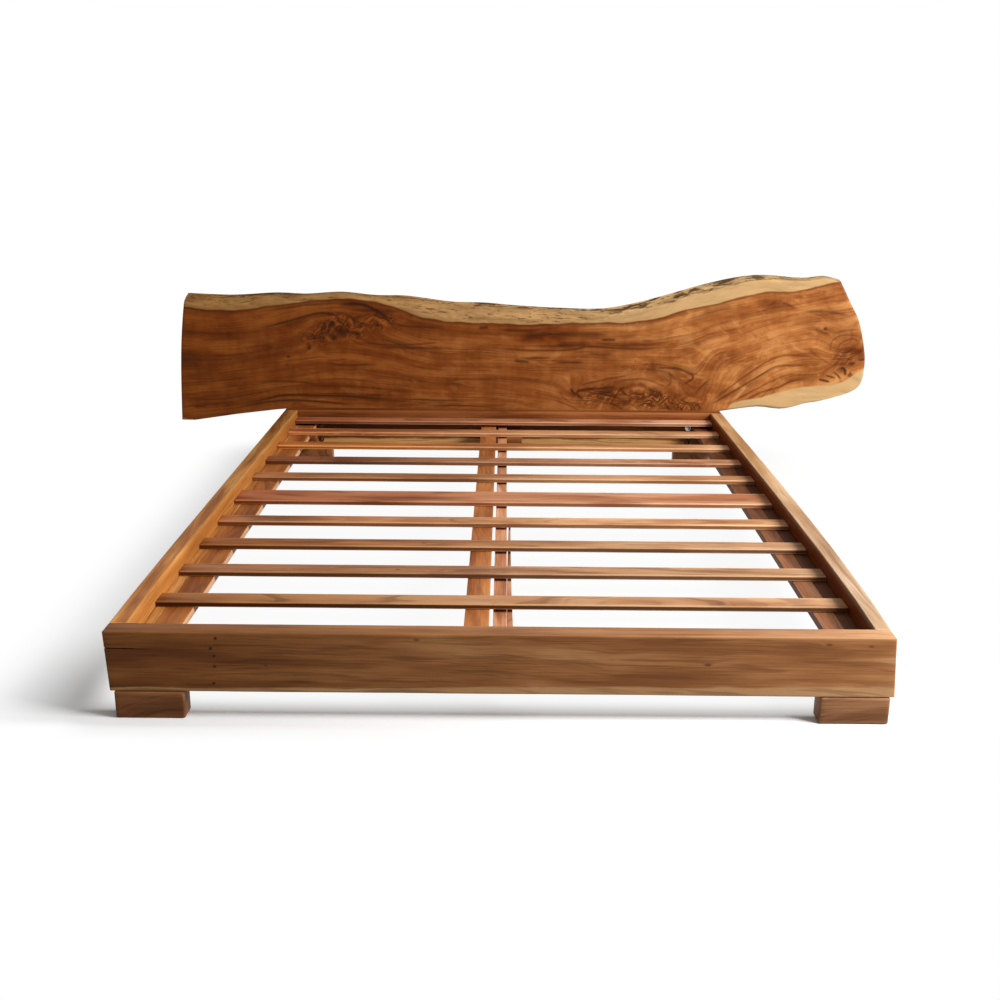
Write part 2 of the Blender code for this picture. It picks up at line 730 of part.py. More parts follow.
def screw_slab(slab, posts):
    """Screw the slab to the posts from behind."""
    kind = Screw(
        SLAB_SCREW_SHANK, SLAB_SCREW_HEAD, SLAB_SCREW_HEAD_HEIGHT, POST_THICKNESS + SLAB_SCREW_BITE,
        SLAB_SCREW_SINK,
    )
    for side, x in POST_PLACES.items():
        for level, rise in SLAB_SCREW_RISES.items():
            drive_screw(
                f"slab_screw_{side}_{level}", kind, (x, POST_BACK, SLAB_SEAT + rise), TOWARDS_FOOT,
                [slab, posts[side]], "bright_steel",
            )


def screw_feet(feet, foot_rail, head_rail):
    """Screw each corner foot to its rail from below, head deep in the foot."""
    kind = Screw(
        FOOT_SCREW_SHANK, FOOT_SCREW_HEAD, FOOT_SCREW_HEAD_HEIGHT,
        FOOT_HEIGHT - FOOT_SCREW_SINK + FOOT_SCREW_BITE, FOOT_SCREW_SINK,
    )
    rails_above = {
        "front": (foot_rail, FOOT_RAIL_THICKNESS / 2),
        "rear": (head_rail, FRAME_LENGTH - HEAD_RAIL_THICKNESS / 2),
    }
    for name, foot in feet.items():
        rail, y = rails_above[name.split("_")[0]]
        drive_screw(name + "_screw", kind, (foot.location.x, y, 0.0), UP, [foot, rail], "dark_steel")


def tenon_rails(rails):
    """Join the side rails to the end rails with loose tenons."""
    foot_rail, head_rail, left_rail, right_rail = rails
    size = Vector((TENON_THICKNESS, TENON_LENGTH, TENON_HEIGHT))
    mortise = size + Vector((2 * GAP, 2 * GAP, 2 * GAP))
    ends = {
        "front": (foot_rail, BEARER_FRONT, FOOT_RAIL_THICKNESS),
        "rear": (head_rail, BEARER_BACK, HEAD_INNER),
    }
    for end, (end_rail, rail_end, joint) in ends.items():
        sides = {
            "left": (left_rail, (left_inner(rail_end) + left_outer(rail_end)) / 2),
            "right": (right_rail, (right_inner(rail_end) + right_outer(rail_end)) / 2),
        }
        for side, (side_rail, x) in sides.items():
            name = f"{end}_{side}_tenon"
            place = Vector((x, joint, (RAIL_BOTTOM + RAIL_TOP) / 2))
            board(name, place - size / 2, place + size / 2, "dowel_wood", TENON_EDGE)
            cut([end_rail, side_rail], name + "_mortise", box_mesh(name + "_mortise", mortise), place)


def dowel_center_foot(center_foot, center_bearer):
    """Pin the middle foot to the bearer above it."""
    place = (CENTER_BEARER_MIDDLE, FRAME_LENGTH / 2, BEARER_BOTTOM + DOWEL_BITE)
    dowel = [(0.0, 0.0), (DOWEL_RADIUS, 0.0), (DOWEL_RADIUS, -DOWEL_LENGTH), (0.0, -DOWEL_LENGTH)]
    hole = [
        (0.0, GAP),
        (DOWEL_RADIUS + GAP, GAP),
        (DOWEL_RADIUS + GAP, -DOWEL_LENGTH - GAP),
        (0.0, -DOWEL_LENGTH - GAP),
    ]
    fit_turned(
        "center_foot_dowel", dowel, hole, SMALL_SIDES, place, DOWN, [center_foot, center_bearer],
        "dowel_wood",
    )


def place_bed():
    """Move the empty so that the origin is the middle of the whole bed, on the floor."""
    slab_x = [x for x, _ in slab_outline()[0]]
    bed.location = (-(min(slab_x) + max(slab_x)) / 2, -POST_BACK / 2, 0.0)


clear_scene()
parts = new_collection("queen_bed")
cutters = new_collection("queen_bed_cutters")
cutters.hide_render = True
finishes = {name: make_finish(name) for name in FINISHES}
bed = bpy.data.objects.new("queen_bed_origin", None)
parts.objects.link(bed)
place_bed()

rails = make_rails()
foot_rail, head_rail, _, _ = rails
feet, center_foot = make_feet()
make_slats()
bearers = make_bearers()
make_lath_strip()
make_battens()
make_blocks()
slab = make_slab()
posts = make_posts()
bolt_headboard(head_rail, posts)
screw_slab(slab, posts)
screw_feet(feet, foot_rail, head_rail)
tenon_rails(rails)
dowel_center_foot(center_foot, bearers["center_bearer"])
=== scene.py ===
"""Looks of the queen size bed: live-edge headboard, plank frame, slatted deck, feet and fittings."""

import logging
import math
from dataclasses import dataclass, field
from enum import Enum
from typing import Sequence

import bpy
import numpy as np
from mathutils import Matrix, Vector, noise


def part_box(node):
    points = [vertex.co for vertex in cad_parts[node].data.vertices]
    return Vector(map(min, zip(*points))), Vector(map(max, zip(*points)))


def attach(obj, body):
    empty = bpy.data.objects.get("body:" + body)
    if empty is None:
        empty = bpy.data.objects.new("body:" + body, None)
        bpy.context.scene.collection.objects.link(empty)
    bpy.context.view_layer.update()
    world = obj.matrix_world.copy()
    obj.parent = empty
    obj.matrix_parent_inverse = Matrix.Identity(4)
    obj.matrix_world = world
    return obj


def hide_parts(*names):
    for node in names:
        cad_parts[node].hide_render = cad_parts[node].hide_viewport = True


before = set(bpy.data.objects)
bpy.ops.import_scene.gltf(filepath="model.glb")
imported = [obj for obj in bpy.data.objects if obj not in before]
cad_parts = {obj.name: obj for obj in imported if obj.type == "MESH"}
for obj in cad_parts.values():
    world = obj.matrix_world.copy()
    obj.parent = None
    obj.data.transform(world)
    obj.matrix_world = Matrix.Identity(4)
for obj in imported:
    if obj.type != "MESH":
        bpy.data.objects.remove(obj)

LOG = logging.getLogger("queen_bed")
BODY = "root"
MILLIMETRE = 0.001
GAMMA = 2.2
SHARP_ANGLE = math.radians(38)
SEED_STEP = 7.31
WOOD_GLOSS = 0.10
SIDES = ("left", "right")
ENDS = ("front", "rear")
LEVELS = ("upper", "lower")
SLAB_MARKS = ("grain", "tone", "sapwood", "wane", "drop", "bark", "rim", "burl", "smoke", "knot", "vein")

# Stretches of the bed over which a board's tones change, along it and across it; the change is partly the
# wood's own and partly painted light and shade from the lamp on the right
LENGTH_SPAN = (0.2, 2.0)
WIDTH_SPAN = (-0.8, 0.8)

Socket = bpy.types.NodeSocket
Linear = tuple[float, float, float, float]
Stops = Sequence[tuple[float, Linear]]


class Grain(Enum):
    """Direction that a board's fibres run in, as the order of the axes: along, across, up."""

    ACROSS_BED = (0, 1, 2)
    ALONG_BED = (1, 0, 2)
    UPRIGHT = (2, 0, 1)


@dataclass(frozen=True)
class Colour:
    """A colour as it is seen, in sRGB values up to 255."""

    red: float
    green: float
    blue: float

    def lit(self, share: float) -> "Colour":
        """The same colour with a share of its light."""
        return Colour(*(value * share ** (1 / GAMMA) for value in (self.red, self.green, self.blue)))

    def linear(self, share: float = 1.0) -> Linear:
        """Give the colour in linear light, times a share of its brightness.

        Args:
            share: Factor on the brightness.

        Returns:
            Red, green, blue and an alpha of 1.
        """
        values = []
        for value in (self.red, self.green, self.blue):
            seen = value / 255
            values.append(share * (seen / 12.92 if seen <= 0.04045 else ((seen + 0.055) / 1.055) ** 2.4))
        return (values[0], values[1], values[2], 1.0)


@dataclass(frozen=True)
class Pitch:
    """Scale of a noise in the wood.

    Attributes:
        along: Waves in a metre along the fibres.
        across: Waves in a metre across them.
        layers: Number of finer layers.
        rough: Strength of the finer layers.
    """

    along: float
    across: float
    layers: float = 2.0
    rough: float = 0.5


# Noises of a plank
SWAY = Pitch(1.6, 3.0, 3.0, 0.45)
BANDS = Pitch(1.1, 46.0, 3.0)
LINES = Pitch(5.0, 320.0, 2.0, 0.55)
THREADS = Pitch(2.6, 120.0)
CLOUDS = Pitch(3.2, 17.0, 3.0)
PATCHES = Pitch(16.0, 40.0, 3.0, 0.6)
FIBRES = Pitch(8.0, 520.0)
PORES = Pitch(40.0, 950.0, 1.0)

# Growth rings of the slab: bands, lines, fibres, arcs in the burls, and threads
SLAB_RINGS = (Pitch(1.2, 30.0, 3.0), Pitch(4.2, 230.0, 2.0, 0.55), Pitch(16.0, 900.0), Pitch(1.5, 85.0),
              Pitch(2.2, 105.0))


class Value:
    """A number, vector or colour in a node tree, with plain arithmetic on numbers."""

    def __init__(self, graph: "Graph", socket: Socket) -> None:
        """Hold one output of a node.

        Args:
            graph: Node tree that it lies in.
            socket: The output.
        """
        self.graph = graph
        self.socket = socket

    def __add__(self, other: "Source") -> "Value":
        """Sum of two numbers."""
        return self if other == 0.0 else self.graph.math("ADD", self, other)

    def __sub__(self, other: "Source") -> "Value":
        """Difference of two numbers."""
        return self.graph.math("SUBTRACT", self, other)

    def __rsub__(self, other: float) -> "Value":
        """Difference of a constant and a number."""
        return self.graph.math("SUBTRACT", other, self)

    def __mul__(self, other: "Source") -> "Value":
        """Product of two numbers."""
        return self.graph.math("MULTIPLY", self, other)


Source = Value | float | Sequence[float]


class Graph:
    """Node tree of a finish or of the world, built by short calls that each add a node."""

    def __init__(self, tree: bpy.types.NodeTree) -> None:
        """Open a node tree.

        Args:
            tree: Blender's node tree.
        """
        self.nodes = tree.nodes
        self.links = tree.links

    def feed(self, socket: Socket, source: Source) -> None:
        """Link a socket to a source, or set its value.

        Args:
            socket: Input to fill.
            source: Another node's output, or a constant.
        """
        if isinstance(source, Value):
            self.links.new(source.socket, socket)
        else:
            socket.default_value = source

    def node(self, kind: str, inputs: dict[int | str, Source], output: int | str = 0,
             **settings: object) -> Value:
        """Add a node, set it up and fill its inputs.

        Args:
            kind: Blender's name of the node, after ShaderNode.
            inputs: Sources by the number or name of the input.
            output: Number or name of the output to give.
            settings: The node's own properties.

        Returns:
            The output.
        """
        node = self.nodes.new(f"ShaderNode{kind}")
        for name, setting in settings.items():
            setattr(node, name, setting)
        for key, source in inputs.items():
            self.feed(node.inputs[key], source)
        return Value(self, node.outputs[output])

    def math(self, operation: str, *sources: Source, clamp: bool = False) -> Value:
        """Work out a number, kept between 0 and 1 where asked."""
        return self.node("Math", dict(enumerate(sources)), operation=operation, use_clamp=clamp)

    def largest(self, first: Source, second: Source) -> Value:
        """The larger of two numbers."""
        return self.math("MAXIMUM", first, second)

    def vector(self, operation: str, *sources: Source) -> Value:
        """Work out a vector, or a number for a length or a dot product."""
        output = "Value" if operation in ("LENGTH", "DOT_PRODUCT") else "Vector"
        return self.node("VectorMath", dict(enumerate(sources)), output, operation=operation)

    def combine(self, *sources: Source) -> Value:
        """Join three numbers to a vector."""
        return self.node("CombineXYZ", dict(enumerate(sources)))

    def separate(self, vector: Value) -> list[Value]:
        """Split a vector in its three numbers."""
        split = self.node("SeparateXYZ", {0: vector})
        return [Value(self, socket) for socket in split.socket.node.outputs]

    def place(self) -> Value:
        """Place on the object, in metres."""
        return self.node("TexCoord", {}, "Object")

    def attribute(self, name: str) -> Value:
        """Number that the mesh carries at each point."""
        return self.node("Attribute", {}, "Fac", attribute_name=name)

    def seen(self) -> Value:
        """1 where the camera looks, also in mirrors and through glass, and 0 for light on the bed."""
        camera, glossy, through = (
            self.node("LightPath", {}, f"Is {ray} Ray") for ray in ("Camera", "Glossy", "Transmission"))
        return self.largest(camera, self.largest(glossy, through))

    def noise(self, place: Value | Sequence[Source], layers: float = 2.0, rough: float = 0.5,
              lean: float = 0.0) -> Value:
        """Add a noise.

        Args:
            place: A vector or its three numbers, in waves.
            layers: Number of finer layers.
            rough: Strength of the finer layers.
            lean: Distortion of the noise.

        Returns:
            The noise, about 0.5 on average.
        """
        vector = place if isinstance(place, Value) else self.combine(*place)
        inputs = {"Vector": vector, "Scale": 1.0, "Detail": layers, "Roughness": rough, "Distortion": lean}
        return self.node("TexNoise", inputs, "Fac")

    def waves(self, pitch: Pitch, place: Sequence[Value], shift: Sequence[float] = (0.0, 0.0, 0.0)) -> Value:
        """Noise through a board.

        Args:
            pitch: Its scale.
            place: Place along, across and up the fibres.
            shift: Waves to move it by on each axis.

        Returns:
            The noise.
        """
        scales = (pitch.along, pitch.across, pitch.across)
        waves = [axis * scale + move for axis, scale, move in zip(place, scales, shift)]
        return self.noise(waves, pitch.layers, pitch.rough)

    def rings(self, pitch: Pitch, reach: Value, along: Value, shift: Source) -> Value:
        """Noise in growth rings, drawn out along the fibres.

        Args:
            pitch: Its scale.
            reach: Distance from the tree's heart.
            along: Place along the fibres.
            shift: Waves to move it by.

        Returns:
            The noise.
        """
        return self.noise((reach * pitch.across, along * pitch.along, shift), pitch.layers, pitch.rough)

    def smooth(self, value: Value, low: float, high: float) -> Value:
        """Smooth step from 0 at one value to 1 at another."""
        inputs = {"Value": value, "From Min": low, "From Max": high}
        return self.node("MapRange", inputs, "Result", interpolation_type="SMOOTHSTEP")

    def ramp(self, value: Value, stops: Stops) -> Value:
        """Colour ramp.

        Args:
            value: Number to colour.
            stops: Place and linear colour of each stop.

        Returns:
            The colour.
        """
        colour = self.node("ValToRGB", {"Fac": value}, "Color")
        elements = colour.socket.node.color_ramp.elements
        for index, (place, tint) in enumerate(stops):
            stop = elements[index] if index < 2 else elements.new(place)
            stop.position = place
            stop.color = tint
        return colour

    def mix(self, share: Source, first: Source, second: Source, blend: str = "MIX") -> Value:
        """Mix two colours.

        Args:
            share: Share of the second colour.
            first: Colour at 0.
            second: Colour at 1.
            blend: Blender's name of the blend type.

        Returns:
            The mixed colour.
        """
        return self.node("Mix", {0: share, 6: first, 7: second}, 2, data_type="RGBA", blend_type=blend)


class FinishGraph(Graph):
    """Node tree of one finish, with its shader."""

    def __init__(self, name: str) -> None:
        """Start a material with a bare shader.

        Args:
            name: Name of the material.
        """
        self.material = bpy.data.materials.new(name)
        self.material.use_nodes = True
        super().__init__(self.material.node_tree)
        self.nodes.clear()
        self.shader = self.nodes.new("ShaderNodeBsdfPrincipled")
        self.output = self.nodes.new("ShaderNodeOutputMaterial")
        self.links.new(self.shader.outputs["BSDF"], self.output.inputs["Surface"])

    def bump(self, height: Value, strength: float, depth: float) -> None:
        """Give the shader a bump.

        Args:
            height: Height from 0 to 1.
            strength: Strength of the bump.
            depth: Depth in metres that the height stands for.
        """
        inputs = {"Height": height, "Strength": strength, "Distance": depth}
        self.feed(self.shader.inputs["Normal"], self.node("Bump", inputs, "Normal"))

    def finish(self, colour: Source, roughness: Source, **values: float) -> bpy.types.Material:
        """Fill the shader's main sockets.

        Args:
            colour: Base colour.
            roughness: Roughness.
            values: Constants for other sockets, named with _ for each space.

        Returns:
            The material.
        """
        self.feed(self.shader.inputs["Base Color"], colour)
        self.feed(self.shader.inputs["Roughness"], roughness)
        for name, value in values.items():
            self.shader.inputs[name.replace("_", " ")].default_value = value
        return self.material


@dataclass(frozen=True)
class Knot:
    """A knot or pin hole in a board.

    Attributes:
        centre: Place on the bed, from the frame's middle, the foot rail's front and the floor.
        radius: Radius across the fibres.
        dark: How dark its heart is, from 0 to 1.
    """

    centre: tuple[float, float, float]
    radius: float
    dark: float = 0.8


@dataclass(frozen=True)
class Sapwood:
    """A pale strip along one edge of a board.

    Attributes:
        axis: Axis that the strip is measured on: 0, 1 or 2.
        level: Place on the bed where the strip ends, at the board's middle.
        sign: 1 where the strip lies above the level, -1 where it lies below.
        climb: How far the border rises over a metre along the fibres.
        waver: How far the border wanders.
        colour: Colour of the strip.
        share: How much of the strip's colour covers the wood.
    """

    axis: int
    level: float
    sign: int
    climb: float
    waver: float
    colour: Colour
    share: float = 0.8


@dataclass(frozen=True)
class Timber:
    """Three tones of one kind of wood, from its late wood to its palest bands."""

    dark: Colour
    middle: Colour
    light: Colour

    @classmethod
    def of(cls, *tones: tuple[float, float, float]) -> "Timber":
        """A timber from the red, green and blue of its three tones."""
        return cls(*(Colour(*tone) for tone in tones))

    def lit(self, share: float) -> "Timber":
        """The same wood, paler above 1 and darker below it."""
        return Timber(self.dark.lit(share), self.middle.lit(share), self.light.lit(share))

    def stops(self) -> Stops:
        """Colour stops for a figure that lies about 0.5."""
        return [(0.41, self.dark.linear()), (0.50, self.middle.linear()), (0.59, self.light.linear())]

    def leaf_stops(self) -> Stops:
        """Colour stops of a mottled burl."""
        return [(0.33, self.dark.linear(0.30)), (0.46, self.dark.linear()),
                (0.56, self.middle.linear(1.15)), (0.68, self.light.linear(1.25))]


@dataclass(frozen=True)
class PlankFinish:
    """Oiled solid wood with growth lines, fibres, pores and softened edges.

    Attributes:
        name: Name of the material.
        grain: Direction of the fibres.
        near: Tones at the bed's left, or at its foot for a board that runs along it.
        far: Tones at the bed's right, or at its head; the change from near is partly the wood's own and
            partly painted light and shade.
        seed: Moves the board to another place in the tree.
        heart: Place of the tree's heart on the bed, across and up the fibres.
        slope: How far the fibres lean across a metre of length.
        sway: How far the growth lines wander.
        streak: Strength of the dark growth lines.
        blotch: Strength of pale patches.
        edge_shade: How far the narrow faces lean to a tone of their own: darker end grain, and painted shade
            and painted light on side faces by how they meet the lamp.
        edge_colour: Painted colour of the narrow faces, a painted light level on lit faces and a painted
            shade on shaded ones; none where they are just darker.
        wear_and_highlight: How pale the worn edges are; the larger values on the head rail and the slats
            paint a highlight along their arrises.
        satin: Roughness of the oiled surface.
        bump: Strength and depth of the fibres' relief.
        knots: Knots and pin holes.
        sapwood: Pale strips.
    """

    name: str
    grain: Grain
    near: Timber
    far: Timber
    seed: float
    heart: tuple[float, float] = (0.03, -0.10)
    slope: float = 0.02
    sway: float = 0.06
    streak: float = 0.55
    blotch: float = 0.0
    edge_shade: float = 0.0
    edge_colour: Colour | None = None
    wear_and_highlight: float = 0.40
    satin: float = 0.50
    bump: tuple[float, float] = (0.18, 0.0006)
    knots: tuple[Knot, ...] = ()
    sapwood: tuple[Sapwood, ...] = ()

    def knotted(self, graph: Graph, place: "BedPlace", spot: Value, reach: Value) -> tuple[Value, Source]:
        """Lead the growth rings round the knots.

        Args:
            graph: Node tree to build in.
            place: Where the bed lies in the frame.
            spot: Place on the board.
            reach: Distance from the tree's heart.

        Returns:
            The distance with the knots in it, and how dark the knots' hearts are.
        """
        stain: Source = 0.0
        for knot in self.knots:
            squeeze = [1 / knot.radius] * 3
            squeeze[self.grain.value[0]] = 0.5 / knot.radius
            away = graph.vector("SUBTRACT", spot, tuple(place.world(*knot.centre)))
            distance = graph.vector("LENGTH", graph.vector("MULTIPLY", away, squeeze))
            reach = reach + graph.math("DIVIDE", knot.radius * 0.9, distance * distance + 1.0)
            stain = graph.largest(stain, graph.smooth(distance, 1.0, 0.3) * knot.dark)
        return reach, stain

    def material(self, place: "BedPlace") -> bpy.types.Material:
        """Build the node material.

        Args:
            place: Where the bed lies in the frame.

        Returns:
            The material.
        """
        graph = FinishGraph(self.name)
        spot = graph.place()
        axes = graph.separate(spot)
        along, across, up = board = [axes[axis] for axis in self.grain.value]
        shift = self.seed * SEED_STEP
        start = (shift, 0.0, 0.0)
        middle = place.world(0.0, 0.0, 0.0)
        offset = [middle[axis] for axis in self.grain.value]
        aside = across - (self.heart[0] + offset[1]) + along * self.slope
        above = up - self.heart[1]
        reach = graph.math("SQRT", aside * aside + above * above)
        reach = reach + (graph.waves(SWAY, board, start) - 0.5) * self.sway
        reach, stain = self.knotted(graph, place, spot, reach)
        bands, lines, threads = (graph.rings(pitch, reach, along, shift) for pitch in (BANDS, LINES, THREADS))
        clouds = graph.waves(CLOUDS, board, start)
        fibres = graph.waves(FIBRES, board, start[::-1])
        pits = graph.smooth(graph.waves(PORES, board), 0.66, 0.74)
        figure = bands * 0.40 + (clouds * 0.42 + fibres * 0.18)
        # Partly painted light and shade: the tones move from near to far along the span.
        span = LENGTH_SPAN if self.grain is Grain.ALONG_BED else WIDTH_SPAN
        share = graph.smooth(along, offset[0] + span[0], offset[0] + span[1])
        colour = graph.mix(share, graph.ramp(figure, self.near.stops()), graph.ramp(figure, self.far.stops()))
        deep = graph.mix(share, self.near.dark.linear(0.40), self.far.dark.linear(0.45))
        if self.blotch:
            patch = graph.smooth(graph.waves(PATCHES, board, start), 0.56, 0.70)
            pale = graph.mix(share, self.near.light.linear(1.35), self.far.light.linear(1.15))
            colour = graph.mix(patch * self.blotch, colour, pale)
        # Painted shade and light on the narrow faces: the slats' front faces and the right rail's inner face
        # are darkened, the left rail's and the left bearer's inner faces take a lit tone.
        if self.edge_shade:
            face = self.edge_colour
            edge = graph.mix(figure, face.linear(0.55), face.linear(1.45)) if face else deep
            colour = graph.mix(graph.attribute("side") * self.edge_shade, colour, edge)
        colour = graph.mix(graph.smooth(lines, 0.54, 0.68) * self.streak, colour, deep)
        colour = graph.mix(graph.smooth(threads, 0.60, 0.70) * self.streak, colour, deep)
        for strip in self.sapwood:
            level = place.world(*[strip.level] * 3)[strip.axis]
            wander = graph.noise((along * 4.5 + shift, 0.0, shift), 4.0, 0.6)
            height = (axes[strip.axis] - level) * float(strip.sign) + (along - offset[0]) * strip.climb
            height = height + (wander - 0.5) * strip.waver + (lines - 0.5) * 0.012
            pale = graph.mix(clouds, strip.colour.linear(0.75), strip.colour.linear(1.35))
            pale = graph.mix(graph.smooth(lines, 0.50, 0.66) * 0.40, pale, deep)
            colour = graph.mix(graph.smooth(height, -0.002, 0.004) * strip.share, colour, pale)
        colour = graph.mix(pits * 0.30, colour, deep)
        if self.knots:
            colour = graph.mix(stain, colour, self.near.dark.linear(0.16))
        # Pale edges: worn arrises, plus a painted highlight where the strength is raised.
        wear_and_highlight = graph.attribute("arris") * (graph.smooth(clouds, 0.25, 0.60) * self.wear_and_highlight)
        worn = graph.mix(share, self.near.light.linear(1.1), self.far.light.linear(1.1))
        graph.bump(fibres + lines * 0.7 - pits, *self.bump)
        rough = fibres * 0.18 + (self.satin - 0.08)
        return graph.finish(graph.mix(wear_and_highlight, colour, worn), rough, Specular_IOR_Level=WOOD_GLOSS)


@dataclass(frozen=True)
class SteelFinish:
    """Plated or blackened steel with fine scratches.

    Attributes:
        name: Name of the material.
        colour: Colour of the metal.
        rough: Roughness of its polish.
    """

    name: str
    colour: Colour
    rough: float

    def material(self) -> bpy.types.Material:
        """Build the node material.

        Returns:
            The material.
        """
        graph = FinishGraph(self.name)
        spot = graph.place()
        smudge = graph.noise(graph.vector("MULTIPLY", spot, (160.0, 160.0, 160.0)), 3.0)
        scratch = graph.noise(graph.vector("MULTIPLY", spot, (900.0, 120.0, 900.0)), 1.0)
        colour = graph.mix(smudge, self.colour.linear(0.72), self.colour.linear(1.1))
        graph.bump(scratch, 0.08, 0.0002)
        return graph.finish(colour, scratch * 0.22 + (self.rough - 0.08), Metallic=1.0)


@dataclass(frozen=True)
class SlabFinish:
    """Figured heartwood with swirls, dark streaks and a pale flecked natural edge.

    Attributes:
        name: Name of the material.
        near: Tones of the heartwood at the slab's left.
        far: Tones of the heartwood at its right; the change from near is partly the wood's own and partly
            painted light, paler towards the lamp.
        streak: Colour of the darkest lines.
        near_sap: Colour of the sapwood at the left.
        far_sap: Colour of the sapwood at the right; the change from near_sap is partly painted light.
        sap_shades: Light on the sapwood where its clouds are dark, middling and pale.
        fleck: Colour of the flecks on the natural edge.
    """

    name: str = "slab_figured_wood"
    near: Timber = Timber.of((84, 34, 3), (110, 49, 6), (138, 69, 15))
    far: Timber = Timber.of((134, 71, 28), (176, 107, 52), (207, 144, 84))
    streak: Colour = Colour(50, 22, 7)
    near_sap: Colour = Colour(142, 94, 40)
    far_sap: Colour = Colour(200, 162, 112)
    sap_shades: tuple[tuple[float, Linear], ...] = (
        (0.30, (0.50, 0.46, 0.42, 1.0)), (0.48, (0.90, 0.89, 0.87, 1.0)), (0.70, (1.22, 1.22, 1.22, 1.0)))
    fleck: Colour = Colour(78, 46, 20)

    def heartwood(self, graph: Graph, spot: Value, deep: Value,
                  marks: dict[str, Value]) -> tuple[Value, Value]:
        """Colour and relief of the heartwood.

        Args:
            graph: Node tree to build in.
            spot: Place on the slab.
            deep: Depth in the slab, scaled for noise.
            marks: Numbers that the mesh carries.

        Returns:
            Its colour and the height of its growth lines.
        """
        x, _, z = graph.separate(spot)
        tone, burl, vein = (marks[name] for name in ("tone", "burl", "vein"))
        bands, lines, fibres, arcs, threads = (
            graph.rings(pitch, marks["grain"], x, deep) for pitch in SLAB_RINGS)
        clouds = graph.noise(graph.vector("MULTIPLY", spot, (7.0, 5.0, 17.0)), 4.0, 0.6)
        ripple = graph.noise((x * 38.0, deep, z * 9.0))
        patch = graph.noise(((x + z) * 17.0, (z - x) * 44.0, deep), 4.0, 0.62, 1.3)
        mottle = graph.noise((x * 9.0, deep, z * 15.0), 4.0, 0.6, 1.2)
        broken = graph.smooth(graph.noise(graph.vector("MULTIPLY", spot, (4.0, 4.0, 15.0))), 0.36, 0.56)
        figure = bands * 0.34 + lines * 0.18 + clouds * 0.30 + (ripple * 0.08 + fibres * 0.10)
        # Partly painted light: the tone mark moves the heartwood from the darker left tones to the paler
        # right ones.
        colour = graph.mix(tone, graph.ramp(figure, self.near.stops()), graph.ramp(figure, self.far.stops()))
        left, right = (graph.ramp(patch, timber.leaf_stops()) for timber in (self.near, self.far))
        leaf = graph.mix(tone, left, right)
        streak = graph.mix(tone, self.streak.linear(), self.near.dark.linear(0.75))
        gilt = graph.mix(tone, self.near.light.linear(1.25), self.far.light.linear(1.1))
        layers = (
            (graph.smooth(mottle, 0.50, 0.60) * (tone * 0.42), self.far.dark.linear(0.8)),
            (graph.smooth(mottle, 0.46, 0.36) * (tone * 0.38), self.far.light.linear(1.05)),
            (burl * (0.90 - tone * 0.60), leaf),
            (burl * (graph.smooth(arcs, 0.51, 0.59) * 0.80), streak),
            (graph.smooth(threads, 0.57, 0.66) * broken * 0.36, streak),
            (graph.smooth(lines, 0.56, 0.68) * 0.36, streak),
            (graph.largest(vein, 0.0) * (lines * 0.6 + 0.85), streak),
            (graph.largest(vein * -1.0, 0.0), gilt),
            (marks["smoke"] * graph.smooth(lines, 0.34, 0.60), streak),
            (marks["rim"] * (clouds * 0.7 + 0.25), streak),
            (marks["knot"] * graph.smooth(patch, 0.30, 0.55), self.streak.linear(0.5)),
        )
        for share, tint in layers:
            colour = graph.mix(share, colour, tint)
        return colour, lines

    def sapwood(self, graph: Graph, spot: Value, marks: dict[str, Value]) -> tuple[Value, Value]:
        """Colour and relief of the sapwood and the natural edge.

        Args:
            graph: Node tree to build in.
            spot: Place on the slab.
            marks: Numbers that the mesh carries.

        Returns:
            Its colour and the height of its flecks.
        """
        x, y, _ = graph.separate(spot)
        deep, drop, wane = y * 45.0, marks["drop"], marks["wane"]
        cloud = graph.noise((x * 8.0, deep, drop * 52.0), 4.0, 0.6)
        dashes = graph.noise((x * 26.0, deep, drop * 170.0), 3.0, 0.6)
        scar = graph.noise((x * 17.0, deep, drop * 105.0), 4.0, 0.6)
        tone = graph.math("POWER", marks["tone"], 0.6)
        # Partly painted light: the sapwood is darker at the left and paler at the right.
        pale = graph.mix(tone, self.near_sap.linear(), self.far_sap.linear())
        pale = graph.mix(wane * 0.60 + 0.40, pale, graph.ramp(cloud, self.sap_shades), "MULTIPLY")
        fleck = graph.smooth(dashes, 0.56, 0.66) * (wane * 0.72 + 0.08)
        pale = graph.mix(fleck, pale, self.fleck.linear())
        bark = graph.smooth(scar, 0.46, 0.56) * marks["bark"]
        return graph.mix(bark * 0.85, pale, self.fleck.linear(0.6)), dashes

    def material(self) -> bpy.types.Material:
        """Build the node material from the numbers that the mesh carries.

        Returns:
            The material.
        """
        graph = FinishGraph(self.name)
        spot = graph.place()
        deep = graph.separate(spot)[1] * 5.0
        marks = {name: graph.attribute(name) for name in SLAB_MARKS}
        heart, lines = self.heartwood(graph, spot, deep, marks)
        pale, dashes = self.sapwood(graph, spot, marks)
        rough = lines * 0.14 + marks["wane"] * 0.16 + 0.40
        graph.bump(lines * 0.3 + dashes * marks["wane"] * -2.0, 0.22, 0.0015)
        return graph.finish(graph.mix(marks["sapwood"], heart, pale), rough, Specular_IOR_Level=WOOD_GLOSS)


@dataclass(frozen=True)
class BedPlace:
    """Where the bed lies in the frame: X from its middle, Y from the foot rail's front, Z from the floor."""

    middle: float
    front: float

    @classmethod
    def find(cls) -> "BedPlace":
        """Read the place from the foot rail."""
        low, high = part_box("foot_rail")
        return cls((low.x + high.x) / 2, low.y)

    def world(self, x: float, y: float, z: float) -> Vector:
        """Turn a place on the bed into one in the frame."""
        return Vector((x + self.middle, y + self.front, z))


